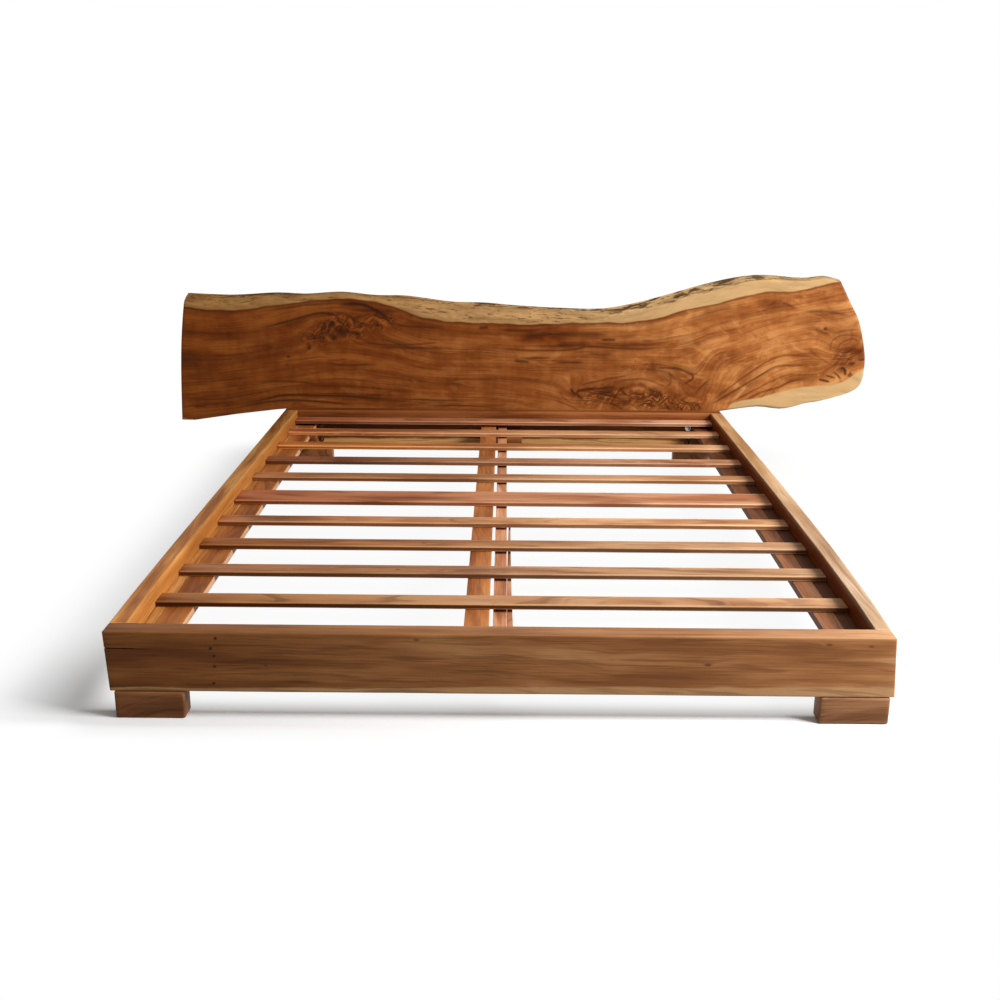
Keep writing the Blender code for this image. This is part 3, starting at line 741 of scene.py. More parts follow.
def add_mesh(name: str, vertices: np.ndarray, faces: Sequence[Sequence[int]]) -> bpy.types.Object:
    """Make a smooth piece from points and faces and let it ride on the bed.

    Args:
        name: Name of the piece.
        vertices: Points, one in each row.
        faces: Point numbers of each face.

    Returns:
        The piece.
    """
    mesh = bpy.data.meshes.new(name)
    mesh.from_pydata(vertices.tolist(), [], faces)
    mesh.validate()
    mesh.shade_smooth()
    mesh.set_sharp_from_angle(angle=SHARP_ANGLE)
    piece = bpy.data.objects.new(name, mesh)
    bpy.context.scene.collection.objects.link(piece)
    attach(piece, BODY)
    return piece


def carry(mesh: bpy.types.Mesh, name: str, values: np.ndarray) -> None:
    """Store a number for each point of a mesh.

    Args:
        mesh: The mesh.
        name: Name of the attribute.
        values: One number for each point.
    """
    layer = mesh.attributes.new(name, "FLOAT", "POINT")
    layer.data.foreach_set("value", np.asarray(values, np.float32).ravel())


def tube_faces(rings: int, count: int) -> list[list[int]]:
    """Faces of a closed tube: its sides ring by ring, then a cap at each end.

    Args:
        rings: Number of rings.
        count: Number of points in a ring.

    Returns:
        Point numbers of each face.
    """
    faces = []
    for start in range(0, (rings - 1) * count, count):
        for step in range(count):
            following = (step + 1) % count
            faces.append([start + step, start + following, start + count + following, start + count + step])
    last = (rings - 1) * count
    return [*faces, list(range(count))[::-1], list(range(last, last + count))]


def near_edge(distance: np.ndarray, reach: np.ndarray | float) -> np.ndarray:
    """1 at an edge, falling to 0 at a reach from it."""
    return np.clip(1 - distance / reach, 0.0, 1.0)


def step_up(value: np.ndarray, low: np.ndarray | float, high: np.ndarray | float) -> np.ndarray:
    """Smooth step from 0 at one value to 1 at another."""
    share = np.clip((value - low) / (high - low), 0.0, 1.0)
    return share * share * (3 - 2 * share)


def layered(x: np.ndarray, z: np.ndarray, pitch: tuple[float, float], layers: int) -> np.ndarray:
    """Layered noise on a grid.

    Args:
        x: Places along.
        z: Places up.
        pitch: Waves in a metre, along and up.
        layers: Number of finer layers.

    Returns:
        Noise of about -1 to 1.
    """
    flat = [noise.fractal(Vector((a * pitch[0], 3.7, b * pitch[1])), 1.0, 2.0, layers)
            for a, b in zip(x.ravel(), z.ravel())]
    return np.array(flat).reshape(x.shape)


def even_curve(points: np.ndarray, count: int, smooth: bool) -> np.ndarray:
    """Space points evenly along a run of points.

    Args:
        points: The run.
        count: Number of points to give.
        smooth: Whether to round the run's corners.

    Returns:
        The evenly spaced points.
    """
    if smooth:
        dense = []
        padded = np.concatenate([points[:1], points, points[-1:]])
        for a, b, c, d in zip(padded, padded[1:], padded[2:], padded[3:]):
            square, cube = 2 * a - 5 * b + 4 * c - d, 3 * (b - c) + d - a
            for share in np.linspace(0.0, 1.0, 8, endpoint=False):
                dense.append(b + 0.5 * share * (c - a + share * (square + share * cube)))
        points = np.array([*dense, points[-1]])
    travel = np.concatenate([[0.0], np.cumsum(np.linalg.norm(np.diff(points, axis=0), axis=1))])
    spots = np.linspace(0.0, travel[-1], count)
    return np.stack([np.interp(spots, travel, points[:, axis]) for axis in (0, 1)], axis=-1)


def turned(name: str, profile: Sequence[tuple[float, float]], spot: Vector, axis: Vector,
           segments: int = 20) -> bpy.types.Object:
    """Turn a profile about an axis to a closed piece.

    Args:
        name: Name of the piece.
        profile: Radius and height of each ring, from the low end to the high one.
        spot: Foot of the axis.
        axis: Direction of the axis.
        segments: Number of points in a ring.

    Returns:
        The piece.
    """
    turn = axis.to_track_quat("Z", "Y").to_matrix()
    points = []
    for radius, height in profile:
        for step in range(segments):
            angle = 2 * math.pi * step / segments
            points.append(spot + turn @ Vector((radius * math.cos(angle), radius * math.sin(angle), height)))
    return add_mesh(name, np.array(points), tube_faces(len(profile), segments))


def join(name: str, pieces: Sequence[bpy.types.Object],
         material: bpy.types.Material) -> bpy.types.Object:
    """Join small pieces to one.

    Args:
        name: Name of the joined piece.
        pieces: Pieces to join, which are removed.
        material: Their finish.

    Returns:
        The joined piece.
    """
    points, faces = [], []
    for piece in pieces:
        base = len(points)
        points.extend(list(vertex.co) for vertex in piece.data.vertices)
        faces.extend([[base + index for index in face.vertices] for face in piece.data.polygons])
        bpy.data.objects.remove(piece)
    joined = add_mesh(name, np.array(points), faces)
    joined.data.materials.append(material)
    return joined


def dress(nodes: Sequence[str], material: bpy.types.Material) -> None:
    """Give nodes of the frame a finish.

    Args:
        nodes: Names of the nodes.
        material: Their finish.
    """
    for node in nodes:
        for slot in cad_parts[node].material_slots:
            slot.material = material


@dataclass
class SoftBoard:
    """A board with worn edges, lofted along its fibres inside a node of the frame.

    Attributes:
        node: Node of the frame that it stands for.
        grain: Direction of its fibres.
        slot: Name of a material slot, not used.
        arris: Radius of its worn edges.
        waver: How far its faces waver, always inwards.
        stations: Number of sections along its length.
        arc_steps: Facets round an edge.
        face_points: Points across each flat face.
        lean: Shift of the low end's bottom and top and the high end's bottom and top, along the fibres.
        lean_reach: How far from an end its lean reaches.
        shaded: How much the low and the high narrow side take the finish's edge tone, which paints shade and
            light on them.
    """

    node: str
    grain: Grain
    slot: str
    arris: float = 0.003
    waver: float = 0.0006
    stations: int = 48
    arc_steps: int = 4
    face_points: int = 4
    lean: tuple[float, float, float, float] = (0.0, 0.0, 0.0, 0.0)
    lean_reach: float = 0.06
    shaded: tuple[float, float] = (1.0, 1.0)

    def sides(self, along: np.ndarray) -> tuple[np.ndarray, np.ndarray]:
        """Both sides across the fibres at each station.

        Args:
            along: Stations along the fibres.

        Returns:
            The low and the high side at each station.
        """
        low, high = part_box(self.node)
        axis = self.grain.value[1]
        return np.full(len(along), low[axis]), np.full(len(along), high[axis])

    def section(self, half_across: float, half_up: float,
                radius: float) -> tuple[np.ndarray, np.ndarray, np.ndarray]:
        """Rounded outline of one section about its middle.

        Args:
            half_across: Half its width.
            half_up: Half its height.
            radius: Radius of its corners.

        Returns:
            Points, outward directions and a mark that is 1 on the rounded corners.
        """
        corners = ((1, 1), (-1, 1), (-1, -1), (1, -1))
        inner = np.array((half_across - radius, half_up - radius))
        centres = [np.array(corner) * inner for corner in corners]
        points, outward, worn = [], [], []
        for index, centre in enumerate(centres):
            for step in range(self.arc_steps + 1):
                angle = math.radians(90.0 * index + 90.0 * step / self.arc_steps)
                direction = np.array((math.cos(angle), math.sin(angle)))
                points.append(centre + radius * direction)
                outward.append(direction)
                worn.append(1.0)
            last, following = points[-1], centres[(index + 1) % 4] + radius * direction
            for step in range(1, self.face_points + 1):
                eased = 0.5 - 0.5 * math.cos(math.pi * (step / (self.face_points + 1)))
                points.append(last + (following - last) * eased)
                outward.append(direction)
                worn.append(0.0)
        return np.array(points), np.array(outward), np.array(worn)

    def station(self, box: tuple[Vector, Vector], place: float, narrow: float, near: float,
                far: float) -> tuple[np.ndarray, np.ndarray, np.ndarray]:
        """Lay one section in the board, with its faces' waver and its end's lean.

        Args:
            box: Low and high corner of the board.
            place: Place along the fibres.
            narrow: How far the rounded end draws it in.
            near: Low side of the board there.
            far: High side of the board there.

        Returns:
            Points, marks of the worn edges and marks of the narrow sides.
        """
        first, second, third = self.grain.value
        (start, bottom), (end, top) = ((corner[first], corner[third]) for corner in box)
        radius = max(self.arris - narrow, self.arris * 0.2)
        points, outward, worn = self.section((far - near) / 2 - narrow, (top - bottom) / 2 - narrow, radius)
        row = np.zeros((len(points), 3))
        row[:, first] = place
        row[:, second] = points[:, 0] + (near + far) / 2
        row[:, third] = points[:, 1] + (bottom + top) / 2
        for spot, direction in zip(row, outward):
            broad, fine = (noise.noise(Vector(spot) * pitch) for pitch in (9.0, 37.0))
            spot[[second, third]] -= direction * self.waver * (0.5 + 0.35 * broad + 0.15 * fine)
        height = (row[:, third] - bottom) / (top - bottom)
        for gap, (below, above) in ((place - start, self.lean[:2]), (end - place, self.lean[2:])):
            row[:, first] += max(0.0, 1 - gap / self.lean_reach) * (below * (1 - height) + above * height)
        shade = np.where(outward[:, 0] < 0, self.shaded[0], self.shaded[1]) * outward[:, 0] ** 4
        end_grain = float(narrow > self.arris * 0.8)
        return row, np.maximum(worn, float(narrow > 0)), np.maximum(shade, end_grain)

    def build(self, material: bpy.types.Material) -> bpy.types.Object:
        """Loft the board, dress it and let it stand for its node.

        Args:
            material: Its finish.

        Returns:
            The piece.
        """
        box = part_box(self.node)
        start, end = (corner[self.grain.value[0]] for corner in box)
        angles = np.radians(np.linspace(90.0, 0.0, self.arc_steps + 1))[:-1]
        tip, inset = self.arris * (1 - np.sin(angles)), self.arris * (1 - np.cos(angles))
        body = np.linspace(start + self.arris, end - self.arris, self.stations)
        along = np.concatenate((start + tip, body, end - tip[::-1]))
        shrink = np.concatenate((inset, np.zeros(len(body)), inset[::-1]))
        stations = [self.station(box, *spot) for spot in zip(along, shrink, *self.sides(along))]
        points, worn, narrow_sides = (np.concatenate(part) for part in zip(*stations))
        faces = tube_faces(len(along), len(stations[0][0]))
        if np.linalg.det(np.eye(3)[list(self.grain.value)]) < 0:
            faces = [face[::-1] for face in faces]
        piece = add_mesh(f"{self.node}_wood", points, faces)
        carry(piece.data, "arris", worn)
        carry(piece.data, "side", narrow_sides)
        piece.data.materials.append(material)
        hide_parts(self.node)
        return piece


@dataclass
class BowedBoard(SoftBoard):
    """A board whose sides taper or bow, read from the rim of its node.

    Attributes:
        rim_edge: How far the node's edges are rounded.
    """

    rim_edge: float = 0.003

    def sides(self, along: np.ndarray) -> tuple[np.ndarray, np.ndarray]:
        """Both sides at each station, from the node's top face.

        Args:
            along: Stations along the fibres.

        Returns:
            The low and the high side at each station.
        """
        points = np.array([vertex.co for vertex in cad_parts[self.node].data.vertices])
        first, second, third = self.grain.value
        rim = points[points[:, third] > points[:, third].max() - 0.1 * MILLIMETRE]
        stops = sorted(set(np.round(rim[:, first], 4)))
        pairs = [rim[np.abs(rim[:, first] - stop) < MILLIMETRE, second] for stop in stops]
        near = [pair.min() - self.rim_edge for pair in pairs]
        far = [pair.max() + self.rim_edge for pair in pairs]
        return np.interp(along, stops, near), np.interp(along, stops, far)


@dataclass(frozen=True)
class Swirl:
    """A place where the slab's fibres swell round a knot.

    Attributes:
        share: Place along the slab, as a share of its length.
        rise: Place above the seat, as a share of the slab's rise.
        reach: Reach along the slab and up, in metres.
        lift: How far it lifts the fibres, in metres.
    """

    share: float
    rise: float
    reach: tuple[float, float]
    lift: float


@dataclass(frozen=True)
class Vein:
    """A growth line of the slab, drawn from listed points.

    Attributes:
        path: Its points, as shares of the slab's length and rise.
        width: Its width in metres.
        dark: How dark it is, from 0 to 1, or how pale below 0.
    """

    path: tuple[tuple[float, float], ...]
    width: float
    dark: float


@dataclass
class Slab:
    """The live-edge headboard.

    Attributes:
        node: Node of the frame that it stands for.
        seat_drop: From the rails' top to the slab's seat.
        rise: Height above the seat that counts as 1.
        corners: Ends of its top, right, bottom and left sides, as shares of length and rise.
        columns: Points along the slab.
        rows: Points up the slab.
        natural_depth: How far the natural edge slopes back at the top.
        stain_depth: Depth of the knots and cracks.
        heart_line: Border between heartwood and sapwood along the top.
        lower_line: Border between sapwood and heartwood at the lower right.
        floor_line: Lower end of the fibres, left of the lower border.
        tones: How pale the heartwood is along the slab, from 0 to 1; partly the wood's own tone and partly
            painted light, paler towards the right end.
        bark_line: Share of the natural slope at which the bark remains start, along the slab.
        wane: Reach of the sloping natural edge along the top, in metres.
        foot_line: How far the fibres rise from the slab's lower edge, at shares of its length.
        swirls: Swellings of the figure.
        burls: Mottled places, as share, rise, and reach along and up.
        smokes: Long dark streaks, given alike.
        shades: Broad darker places, given alike, with how much darker each is.
        stains: Dark knots and cracks, given alike.
        veins: Growth lines that stand out.
        base: Low left corner of the shares, found when it is built.
        length: Length of the slab, found when it is built.
    """

    node: str = "headboard_slab"
    seat_drop: float = 0.006
    rise: float = 0.511
    corners: tuple[tuple[float, float], ...] = (
        (0.019, 0.834), (0.954, 0.957), (0.976, 0.147), (0.000, -0.092))
    columns: int = 800
    rows: int = 170
    natural_depth: float = 0.030
    stain_depth: float = 0.0015
    heart_line: tuple[tuple[float, float], ...] = (
        (0.000, 0.742), (0.015, 0.736), (0.059, 0.710), (0.100, 0.718), (0.138, 0.748), (0.203, 0.793),
        (0.248, 0.809), (0.276, 0.796), (0.302, 0.772), (0.328, 0.734), (0.343, 0.692), (0.372, 0.658),
        (0.411, 0.641), (0.498, 0.627), (0.606, 0.645), (0.646, 0.647), (0.679, 0.663), (0.705, 0.692),
        (0.733, 0.743), (0.770, 0.780), (0.805, 0.831), (0.859, 0.882), (0.896, 0.877), (0.917, 0.913),
        (0.949, 0.949), (1.000, 0.990),
    )
    lower_line: tuple[tuple[float, float], ...] = (
        (0.790, 0.020), (0.808, 0.069), (0.831, 0.096), (0.857, 0.113), (0.880, 0.165), (0.912, 0.199),
        (0.962, 0.210), (0.984, 0.260), (1.000, 0.360),
    )
    floor_line: tuple[tuple[float, float], ...] = (
        (0.0, -0.13), (0.06, -0.09), (0.14, -0.02), (0.25, 0.0), (0.78, 0.0))
    # Partly painted light: the heartwood grows paler towards the slab's right end, nearer the lamp.
    tones: tuple[tuple[float, float], ...] = (
        (0.0, 0.05), (0.30, 0.14), (0.50, 0.36), (0.62, 0.60), (0.75, 0.86), (1.0, 1.0))
    bark_line: tuple[tuple[float, float], ...] = ((0.60, 0.72), (0.68, 0.15), (0.84, 0.15), (0.90, 0.72))
    wane: tuple[tuple[float, float], ...] = (
        (0.000, 0.030), (0.030, 0.045), (0.100, 0.052), (0.138, 0.045), (0.203, 0.028),
        (0.248, 0.022), (0.300, 0.026),
        (0.343, 0.052), (0.411, 0.070), (0.500, 0.066), (0.606, 0.050), (0.660, 0.034), (0.780, 0.030),
        (0.860, 0.018), (0.930, 0.008), (1.000, 0.008),
    )
    foot_line: tuple[tuple[float, float], ...] = (
        (0.00, 0.00), (0.46, 0.00), (0.57, 0.06), (0.70, 0.11), (0.735, 0.17), (0.765, 0.22),
        (0.79, 0.15), (0.83, 0.06),
        (0.90, 0.00), (1.00, 0.00))
    swirls: tuple[Swirl, ...] = (
        Swirl(0.232, 0.610, (0.110, 0.052), -0.090),
        Swirl(0.254, 0.620, (0.030, 0.034), 0.060),
        Swirl(0.196, 0.475, (0.030, 0.024), -0.030),
        Swirl(0.212, 0.560, (0.035, 0.022), 0.030),
        Swirl(0.290, 0.640, (0.040, 0.026), -0.034),
        Swirl(0.612, 0.150, (0.120, 0.040), 0.085),
        Swirl(0.668, 0.120, (0.080, 0.040), 0.070),
        Swirl(0.671, 0.182, (0.026, 0.018), 0.030),
        Swirl(0.662, 0.065, (0.028, 0.020), -0.036),
        Swirl(0.700, 0.100, (0.026, 0.030), 0.034),
        Swirl(0.780, 0.420, (0.070, 0.110), -0.030),
        Swirl(0.972, 0.500, (0.075, 0.055), 0.080),
        Swirl(0.962, 0.330, (0.050, 0.035), -0.055),
        Swirl(0.870, 0.260, (0.130, 0.070), -0.030),
    )
    burls: tuple[tuple[float, float, float, float], ...] = (
        (0.240, 0.600, 0.110, 0.055), (0.296, 0.655, 0.060, 0.040), (0.205, 0.520, 0.060, 0.035),
        (0.630, 0.105, 0.140, 0.052), (0.695, 0.085, 0.100, 0.052), (0.742, 0.045, 0.060, 0.034),
        (0.968, 0.390, 0.050, 0.050),
    )
    smokes: tuple[tuple[float, float, float, float], ...] = (
        (0.534, 0.556, 0.090, 0.010), (0.572, 0.543, 0.110, 0.007), (0.559, 0.478, 0.120, 0.007),
        (0.520, 0.389, 0.060, 0.006),
        (0.643, 0.496, 0.090, 0.006), (0.338, 0.455, 0.150, 0.007), (0.233, 0.363, 0.040, 0.004),
        (0.323, 0.072, 0.260, 0.008),
        (0.249, 0.107, 0.200, 0.007), (0.396, 0.038, 0.240, 0.007), (0.690, 0.352, 0.050, 0.004),
        (0.600, 0.436, 0.060, 0.005),
        (0.290, 0.720, 0.090, 0.010),
    )
    shades: tuple[tuple[float, float, float, float, float], ...] = (
        (0.930, 0.690, 0.100, 0.045, 0.42), (0.972, 0.520, 0.060, 0.065, 0.48),
        (0.945, 0.360, 0.080, 0.040, 0.26),
        (0.640, 0.110, 0.160, 0.060, 0.20), (0.735, 0.060, 0.080, 0.050, 0.40),
        (0.860, 0.780, 0.060, 0.050, 0.25),
        (0.540, 0.540, 0.220, 0.050, 0.32), (0.700, 0.300, 0.060, 0.040, 0.20),
        (0.270, 0.110, 0.220, 0.060, -0.10),
        (0.986, 0.440, 0.036, 0.024, 0.75), (0.725, 0.200, 0.040, 0.050, 0.25),
        (0.530, 0.120, 0.100, 0.050, 0.10),
    )
    stains: tuple[tuple[float, float, float, float], ...] = (
        (0.241, 0.565, 0.026, 0.022), (0.228, 0.525, 0.014, 0.012), (0.227, 0.620, 0.014, 0.014),
        (0.192, 0.455, 0.011, 0.013), (0.161, 0.382, 0.008, 0.004), (0.158, 0.327, 0.007, 0.003),
        (0.292, 0.616, 0.013, 0.007), (0.261, 0.550, 0.011, 0.006), (0.620, 0.131, 0.015, 0.007),
        (0.994, 0.395, 0.014, 0.006), (0.980, 0.364, 0.014, 0.007), (0.979, 0.284, 0.010, 0.011),
        (0.938, 0.615, 0.009, 0.007),
    )
    veins: tuple[Vein, ...] = (
        Vein(((0.12, 0.70), (0.18, 0.752), (0.22, 0.766), (0.244, 0.774)), 0.0040, 0.5),
        Vein(((0.235, 0.764), (0.265, 0.768), (0.282, 0.744), (0.301, 0.688), (0.316, 0.638)), 0.0085, 0.9),
        Vein(((0.311, 0.652), (0.322, 0.624), (0.339, 0.611), (0.386, 0.60)), 0.0048, 0.6),
        Vein(((0.12, 0.593), (0.15, 0.622), (0.20, 0.693), (0.22, 0.698), (0.235, 0.67),
              (0.241, 0.58)), 0.0055, 0.75),
        Vein(((0.26, 0.497), (0.292, 0.48), (0.333, 0.477), (0.386, 0.498)), 0.0048, 0.55),
        Vein(((0.252, 0.677), (0.261, 0.645), (0.282, 0.613)), 0.0044, 0.6),
        Vein(((0.222, 0.655), (0.231, 0.645), (0.232, 0.60)), 0.0045, -0.5),
        Vein(((0.217, 0.54), (0.222, 0.50)), 0.0070, -0.5),
        Vein(((0.184, 0.53), (0.190, 0.49)), 0.0080, -0.4),
        Vein(((0.272, 0.62), (0.287, 0.672), (0.30, 0.63), (0.314, 0.61)), 0.0050, -0.5),
        Vein(((0.25, 0.67), (0.256, 0.62), (0.252, 0.58)), 0.0060, -0.45),
        Vein(((0.109, 0.183), (0.146, 0.205), (0.206, 0.187)), 0.0044, 0.55),
        Vein(((0.0, 0.078), (0.034, 0.068), (0.068, 0.075), (0.151, 0.149)), 0.0044, 0.5),
        Vein(((0.086, 0.02), (0.137, 0.084), (0.16, 0.102), (0.25, 0.094), (0.32, 0.075)), 0.0070, 0.75),
        Vein(((0.075, 0.0), (0.128, 0.05), (0.16, 0.063), (0.194, 0.058), (0.263, 0.028)), 0.0060, 0.7),
        Vein(((0.018, 0.012), (0.038, 0.011)), 0.0055, 0.6),
        Vein(((0.215, 0.335), (0.249, 0.325), (0.286, 0.336)), 0.0048, 0.6),
        Vein(((0.438, 0.602), (0.453, 0.609)), 0.0080, 0.7),
        Vein(((0.465, 0.59), (0.511, 0.587), (0.532, 0.598)), 0.0066, 0.6),
        Vein(((0.543, 0.563), (0.627, 0.566)), 0.0110, 0.55),
        Vein(((0.501, 0.535), (0.535, 0.537)), 0.0095, 0.5),
        Vein(((0.614, 0.525), (0.638, 0.524)), 0.0062, 0.8),
        Vein(((0.547, 0.486), (0.602, 0.494)), 0.0117, 0.5),
        Vein(((0.438, 0.466), (0.507, 0.444), (0.572, 0.451), (0.60, 0.477), (0.669, 0.46),
              (0.732, 0.494)), 0.0051, 0.65),
        Vein(((0.488, 0.366), (0.514, 0.362)), 0.0095, 0.6),
        Vein(((0.549, 0.361), (0.593, 0.36)), 0.0066, 0.6),
        Vein(((0.593, 0.427), (0.635, 0.418)), 0.0117, 0.4),
        Vein(((0.596, 0.55), (0.612, 0.504), (0.648, 0.48), (0.69, 0.497), (0.732, 0.535)), 0.0040, 0.4),
        Vein(((0.687, 0.325), (0.725, 0.321), (0.747, 0.279), (0.751, 0.249), (0.736, 0.197),
              (0.735, 0.166)), 0.0055, 0.75),
        Vein(((0.639, 0.178), (0.594, 0.16), (0.582, 0.134), (0.597, 0.063)), 0.0070, 0.8),
        Vein(((0.573, 0.175), (0.577, 0.134), (0.583, 0.119)), 0.0080, 0.8),
        Vein(((0.582, 0.18), (0.601, 0.212), (0.626, 0.239), (0.662, 0.276)), 0.0044, 0.55),
        Vein(((0.632, 0.218), (0.679, 0.241), (0.714, 0.176), (0.716, 0.135)), 0.0040, 0.5),
        Vein(((0.685, 0.174), (0.705, 0.124), (0.706, 0.083)), 0.0070, 0.7),
        Vein(((0.665, 0.133), (0.68, 0.131)), 0.0080, 0.8),
        Vein(((0.66, 0.165), (0.672, 0.175), (0.684, 0.16)), 0.0080, -0.6),
        Vein(((0.64, 0.115), (0.66, 0.10)), 0.0090, -0.4),
        Vein(((0.628, 0.07), (0.653, 0.014)), 0.0055, 0.55),
        Vein(((0.649, 0.06), (0.662, 0.081)), 0.0066, 0.6),
        Vein(((0.67, 0.02), (0.676, 0.051), (0.687, 0.06), (0.697, 0.032)), 0.0040, 0.6),
        Vein(((0.666, 0.061), (0.685, 0.087), (0.70, 0.062), (0.707, 0.022)), 0.0040, 0.5),
        Vein(((0.755, 0.136), (0.769, 0.214), (0.779, 0.25)), 0.0042, 0.6),
        Vein(((0.766, 0.024), (0.80, 0.164), (0.843, 0.329), (0.878, 0.42), (0.923, 0.408),
              (0.944, 0.354)), 0.0046, 0.55),
        Vein(((0.767, 0.029), (0.796, 0.107), (0.85, 0.28), (0.876, 0.346), (0.923, 0.348)), 0.0058, 0.65),
        Vein(((0.794, 0.025), (0.828, 0.129), (0.884, 0.274), (0.918, 0.281)), 0.0042, 0.5),
        Vein(((0.82, 0.06), (0.85, 0.148), (0.878, 0.191), (0.895, 0.236), (0.923, 0.262)), 0.0058, 0.6),
        Vein(((0.709, 0.078), (0.72, 0.012)), 0.0055, 0.75),
        Vein(((0.734, 0.079), (0.729, 0.017)), 0.0050, 0.7),
        Vein(((0.758, 0.075), (0.765, 0.019)), 0.0050, 0.7),
        Vein(((0.548, 0.082), (0.576, 0.032), (0.588, 0.0)), 0.0040, 0.5),
        Vein(((0.557, 0.159), (0.561, 0.108), (0.576, 0.052)), 0.0040, 0.4),
        Vein(((0.716, 0.263), (0.719, 0.222), (0.713, 0.181)), 0.0042, 0.45),
        Vein(((0.933, 0.251), (0.948, 0.235), (0.95, 0.221)), 0.0058, 0.95),
        Vein(((0.943, 0.282), (0.959, 0.261)), 0.0050, 0.85),
        Vein(((0.954, 0.31), (0.961, 0.283), (0.967, 0.25)), 0.0050, 0.85),
        Vein(((0.963, 0.335), (0.97, 0.33), (0.973, 0.272)), 0.0066, 0.9),
        Vein(((0.965, 0.244), (0.973, 0.222), (0.978, 0.236), (0.985, 0.284)), 0.0055, 0.75),
        Vein(((0.949, 0.581), (0.963, 0.601), (0.988, 0.616)), 0.0051, 0.5),
        Vein(((0.92, 0.618), (0.936, 0.589), (0.946, 0.575)), 0.0088, 0.5),
        Vein(((0.90, 0.739), (0.932, 0.738), (0.952, 0.73), (0.974, 0.701)), 0.0076, 0.5),
        Vein(((0.871, 0.802), (0.882, 0.788), (0.892, 0.756)), 0.0073, 0.5),
        Vein(((0.85, 0.773), (0.858, 0.787), (0.866, 0.821)), 0.0058, 0.4),
        Vein(((0.917, 0.48), (0.927, 0.425), (0.952, 0.354)), 0.0044, 0.45),
        Vein(((0.959, 0.465), (0.962, 0.515), (0.98, 0.546), (0.991, 0.50)), 0.0042, 0.5),
        Vein(((0.948, 0.443), (0.949, 0.526), (0.963, 0.57), (0.99, 0.566)), 0.0042, 0.45),
    )
    base: np.ndarray = field(default_factory=lambda: np.zeros(2))
    length: float = 0.0

    def ring(self) -> np.ndarray:
        """Widest outline of the node, in order, clockwise from the front.

        Returns:
            Its points (x, z).
        """
        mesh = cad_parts[self.node].data
        points = np.array([vertex.co for vertex in mesh.vertices])
        level = points[points[:, 0].argmin(), 1]
        near = np.abs(points[:, 1] - level) < 0.1 * MILLIMETRE
        keys = {index: tuple(np.round(points[index], 5)) for index in np.flatnonzero(near)}
        links: dict[tuple, set] = {}
        for edge in mesh.edges:
            first, second = (keys.get(vertex) for vertex in edge.vertices)
            if first and second and first != second:
                links.setdefault(first, set()).add(second)
                links.setdefault(second, set()).add(first)
        start = min(links)
        order = [start, max(links[start], key=lambda spot: spot[2])]
        while len(order) < len(links):
            order.append(next(spot for spot in links[order[-1]] if spot != order[-2]))
        return np.array(order)[:, [0, 2]]

    def spot(self, share: float, rise: float) -> np.ndarray:
        """Place (x, z) on the slab from shares of its length and rise."""
        return self.base + np.array((share * self.length, rise * self.rise))

    def side_curves(self) -> list[np.ndarray]:
        """Split the outline at its corners and space points evenly on each side.

        Returns:
            Top, right, bottom and left sides, each from its first corner to its last, clockwise.
        """
        ring = self.ring()
        picks = [int(np.linalg.norm(ring - self.spot(*corner), axis=1).argmin()) for corner in self.corners]
        curves = []
        for number, pick in enumerate(picks):
            stop = picks[(number + 1) % 4]
            run = np.roll(ring, -pick, axis=0)[: (stop - pick) % len(ring) + 1]
            curves.append(even_curve(run, self.rows if number % 2 else self.columns, smooth=number != 2))
        return curves

    def along(self, table: Sequence[tuple[float, float]], x: np.ndarray) -> np.ndarray:
        """Read a table of shares of the length at places along the slab, with its corners rounded.

        Args:
            table: Pairs of share and value.
            x: Places.

        Returns:
            The values.
        """
        dense = np.linspace(0.0, 1.0, 241)
        coarse = np.interp(dense, *zip(*table))
        soft = np.convolve(np.pad(coarse, 4, mode="edge"), np.ones(9) / 9, mode="valid")
        return np.interp((x - self.base[0]) / self.length, dense, soft)

    def height(self, table: Sequence[tuple[float, float]], x: np.ndarray) -> np.ndarray:
        """Height of a line on the slab, given in shares of its length and rise."""
        return self.base[1] + self.rise * self.along(table, x)

    def build(self, material: bpy.types.Material) -> bpy.types.Object:
        """Shape the slab, mark its figure and let it stand for its node.

        Args:
            material: Its finish.

        Returns:
            The piece.
        """
        low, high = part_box(self.node)
        self.length = high.x - low.x
        self.base = np.array((low.x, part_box("head_rail")[1].z - self.seat_drop))
        top, right, bottom, left = self.side_curves()
        bottom, right = bottom[::-1], right[::-1]
        s, t = np.linspace(0.0, 1.0, self.columns), np.linspace(0.0, 1.0, self.rows)
        across, up = s[:, None, None], t[None, :, None]
        blend = ((1 - up) * bottom[:, None] + up * top[:, None]
                 + (1 - across) * left[None] + across * right[None])
        corner = ((1 - across) * (1 - up) * bottom[0] + across * (1 - up) * bottom[-1]
                  + (1 - across) * up * top[0] + across * up * top[-1])
        x, z = np.moveaxis(blend - corner, -1, 0)
        height = (top[:, 1] - bottom[:, 1])[:, None]
        from_top, from_bottom = (1 - t)[None] * height, t[None] * height
        from_left = s[:, None] * self.length * np.ones_like(z)
        from_right = (1 - s)[:, None] * self.length * np.ones_like(z)
        lumps = layered(x, z, (9.0, 22.0), 3) * 0.5 + layered(x, z, (30.0, 60.0), 2) * 0.25
        slope = near_edge(from_top, self.along(self.wane, x) * (1 + 0.25 * lumps))
        round_low = np.where((x - low.x) / self.length > self.lower_line[0][0], 0.014, 0.004)
        back_set = np.maximum.reduce([
            self.natural_depth * slope ** 1.5, 0.010 * near_edge(from_bottom, round_low) ** 2,
            0.003 * near_edge(from_left, 0.005) ** 2, 0.008 * near_edge(from_right, 0.012) ** 2])
        ripple = np.clip(slope * 6, 0, 1) * (lumps + 0.4) * 0.0035
        marks = {**self.figure(x, z, slope), "drop": from_top}
        y_front = low.y + back_set + np.clip(ripple, 0.0, None) * (slope < 0.97)
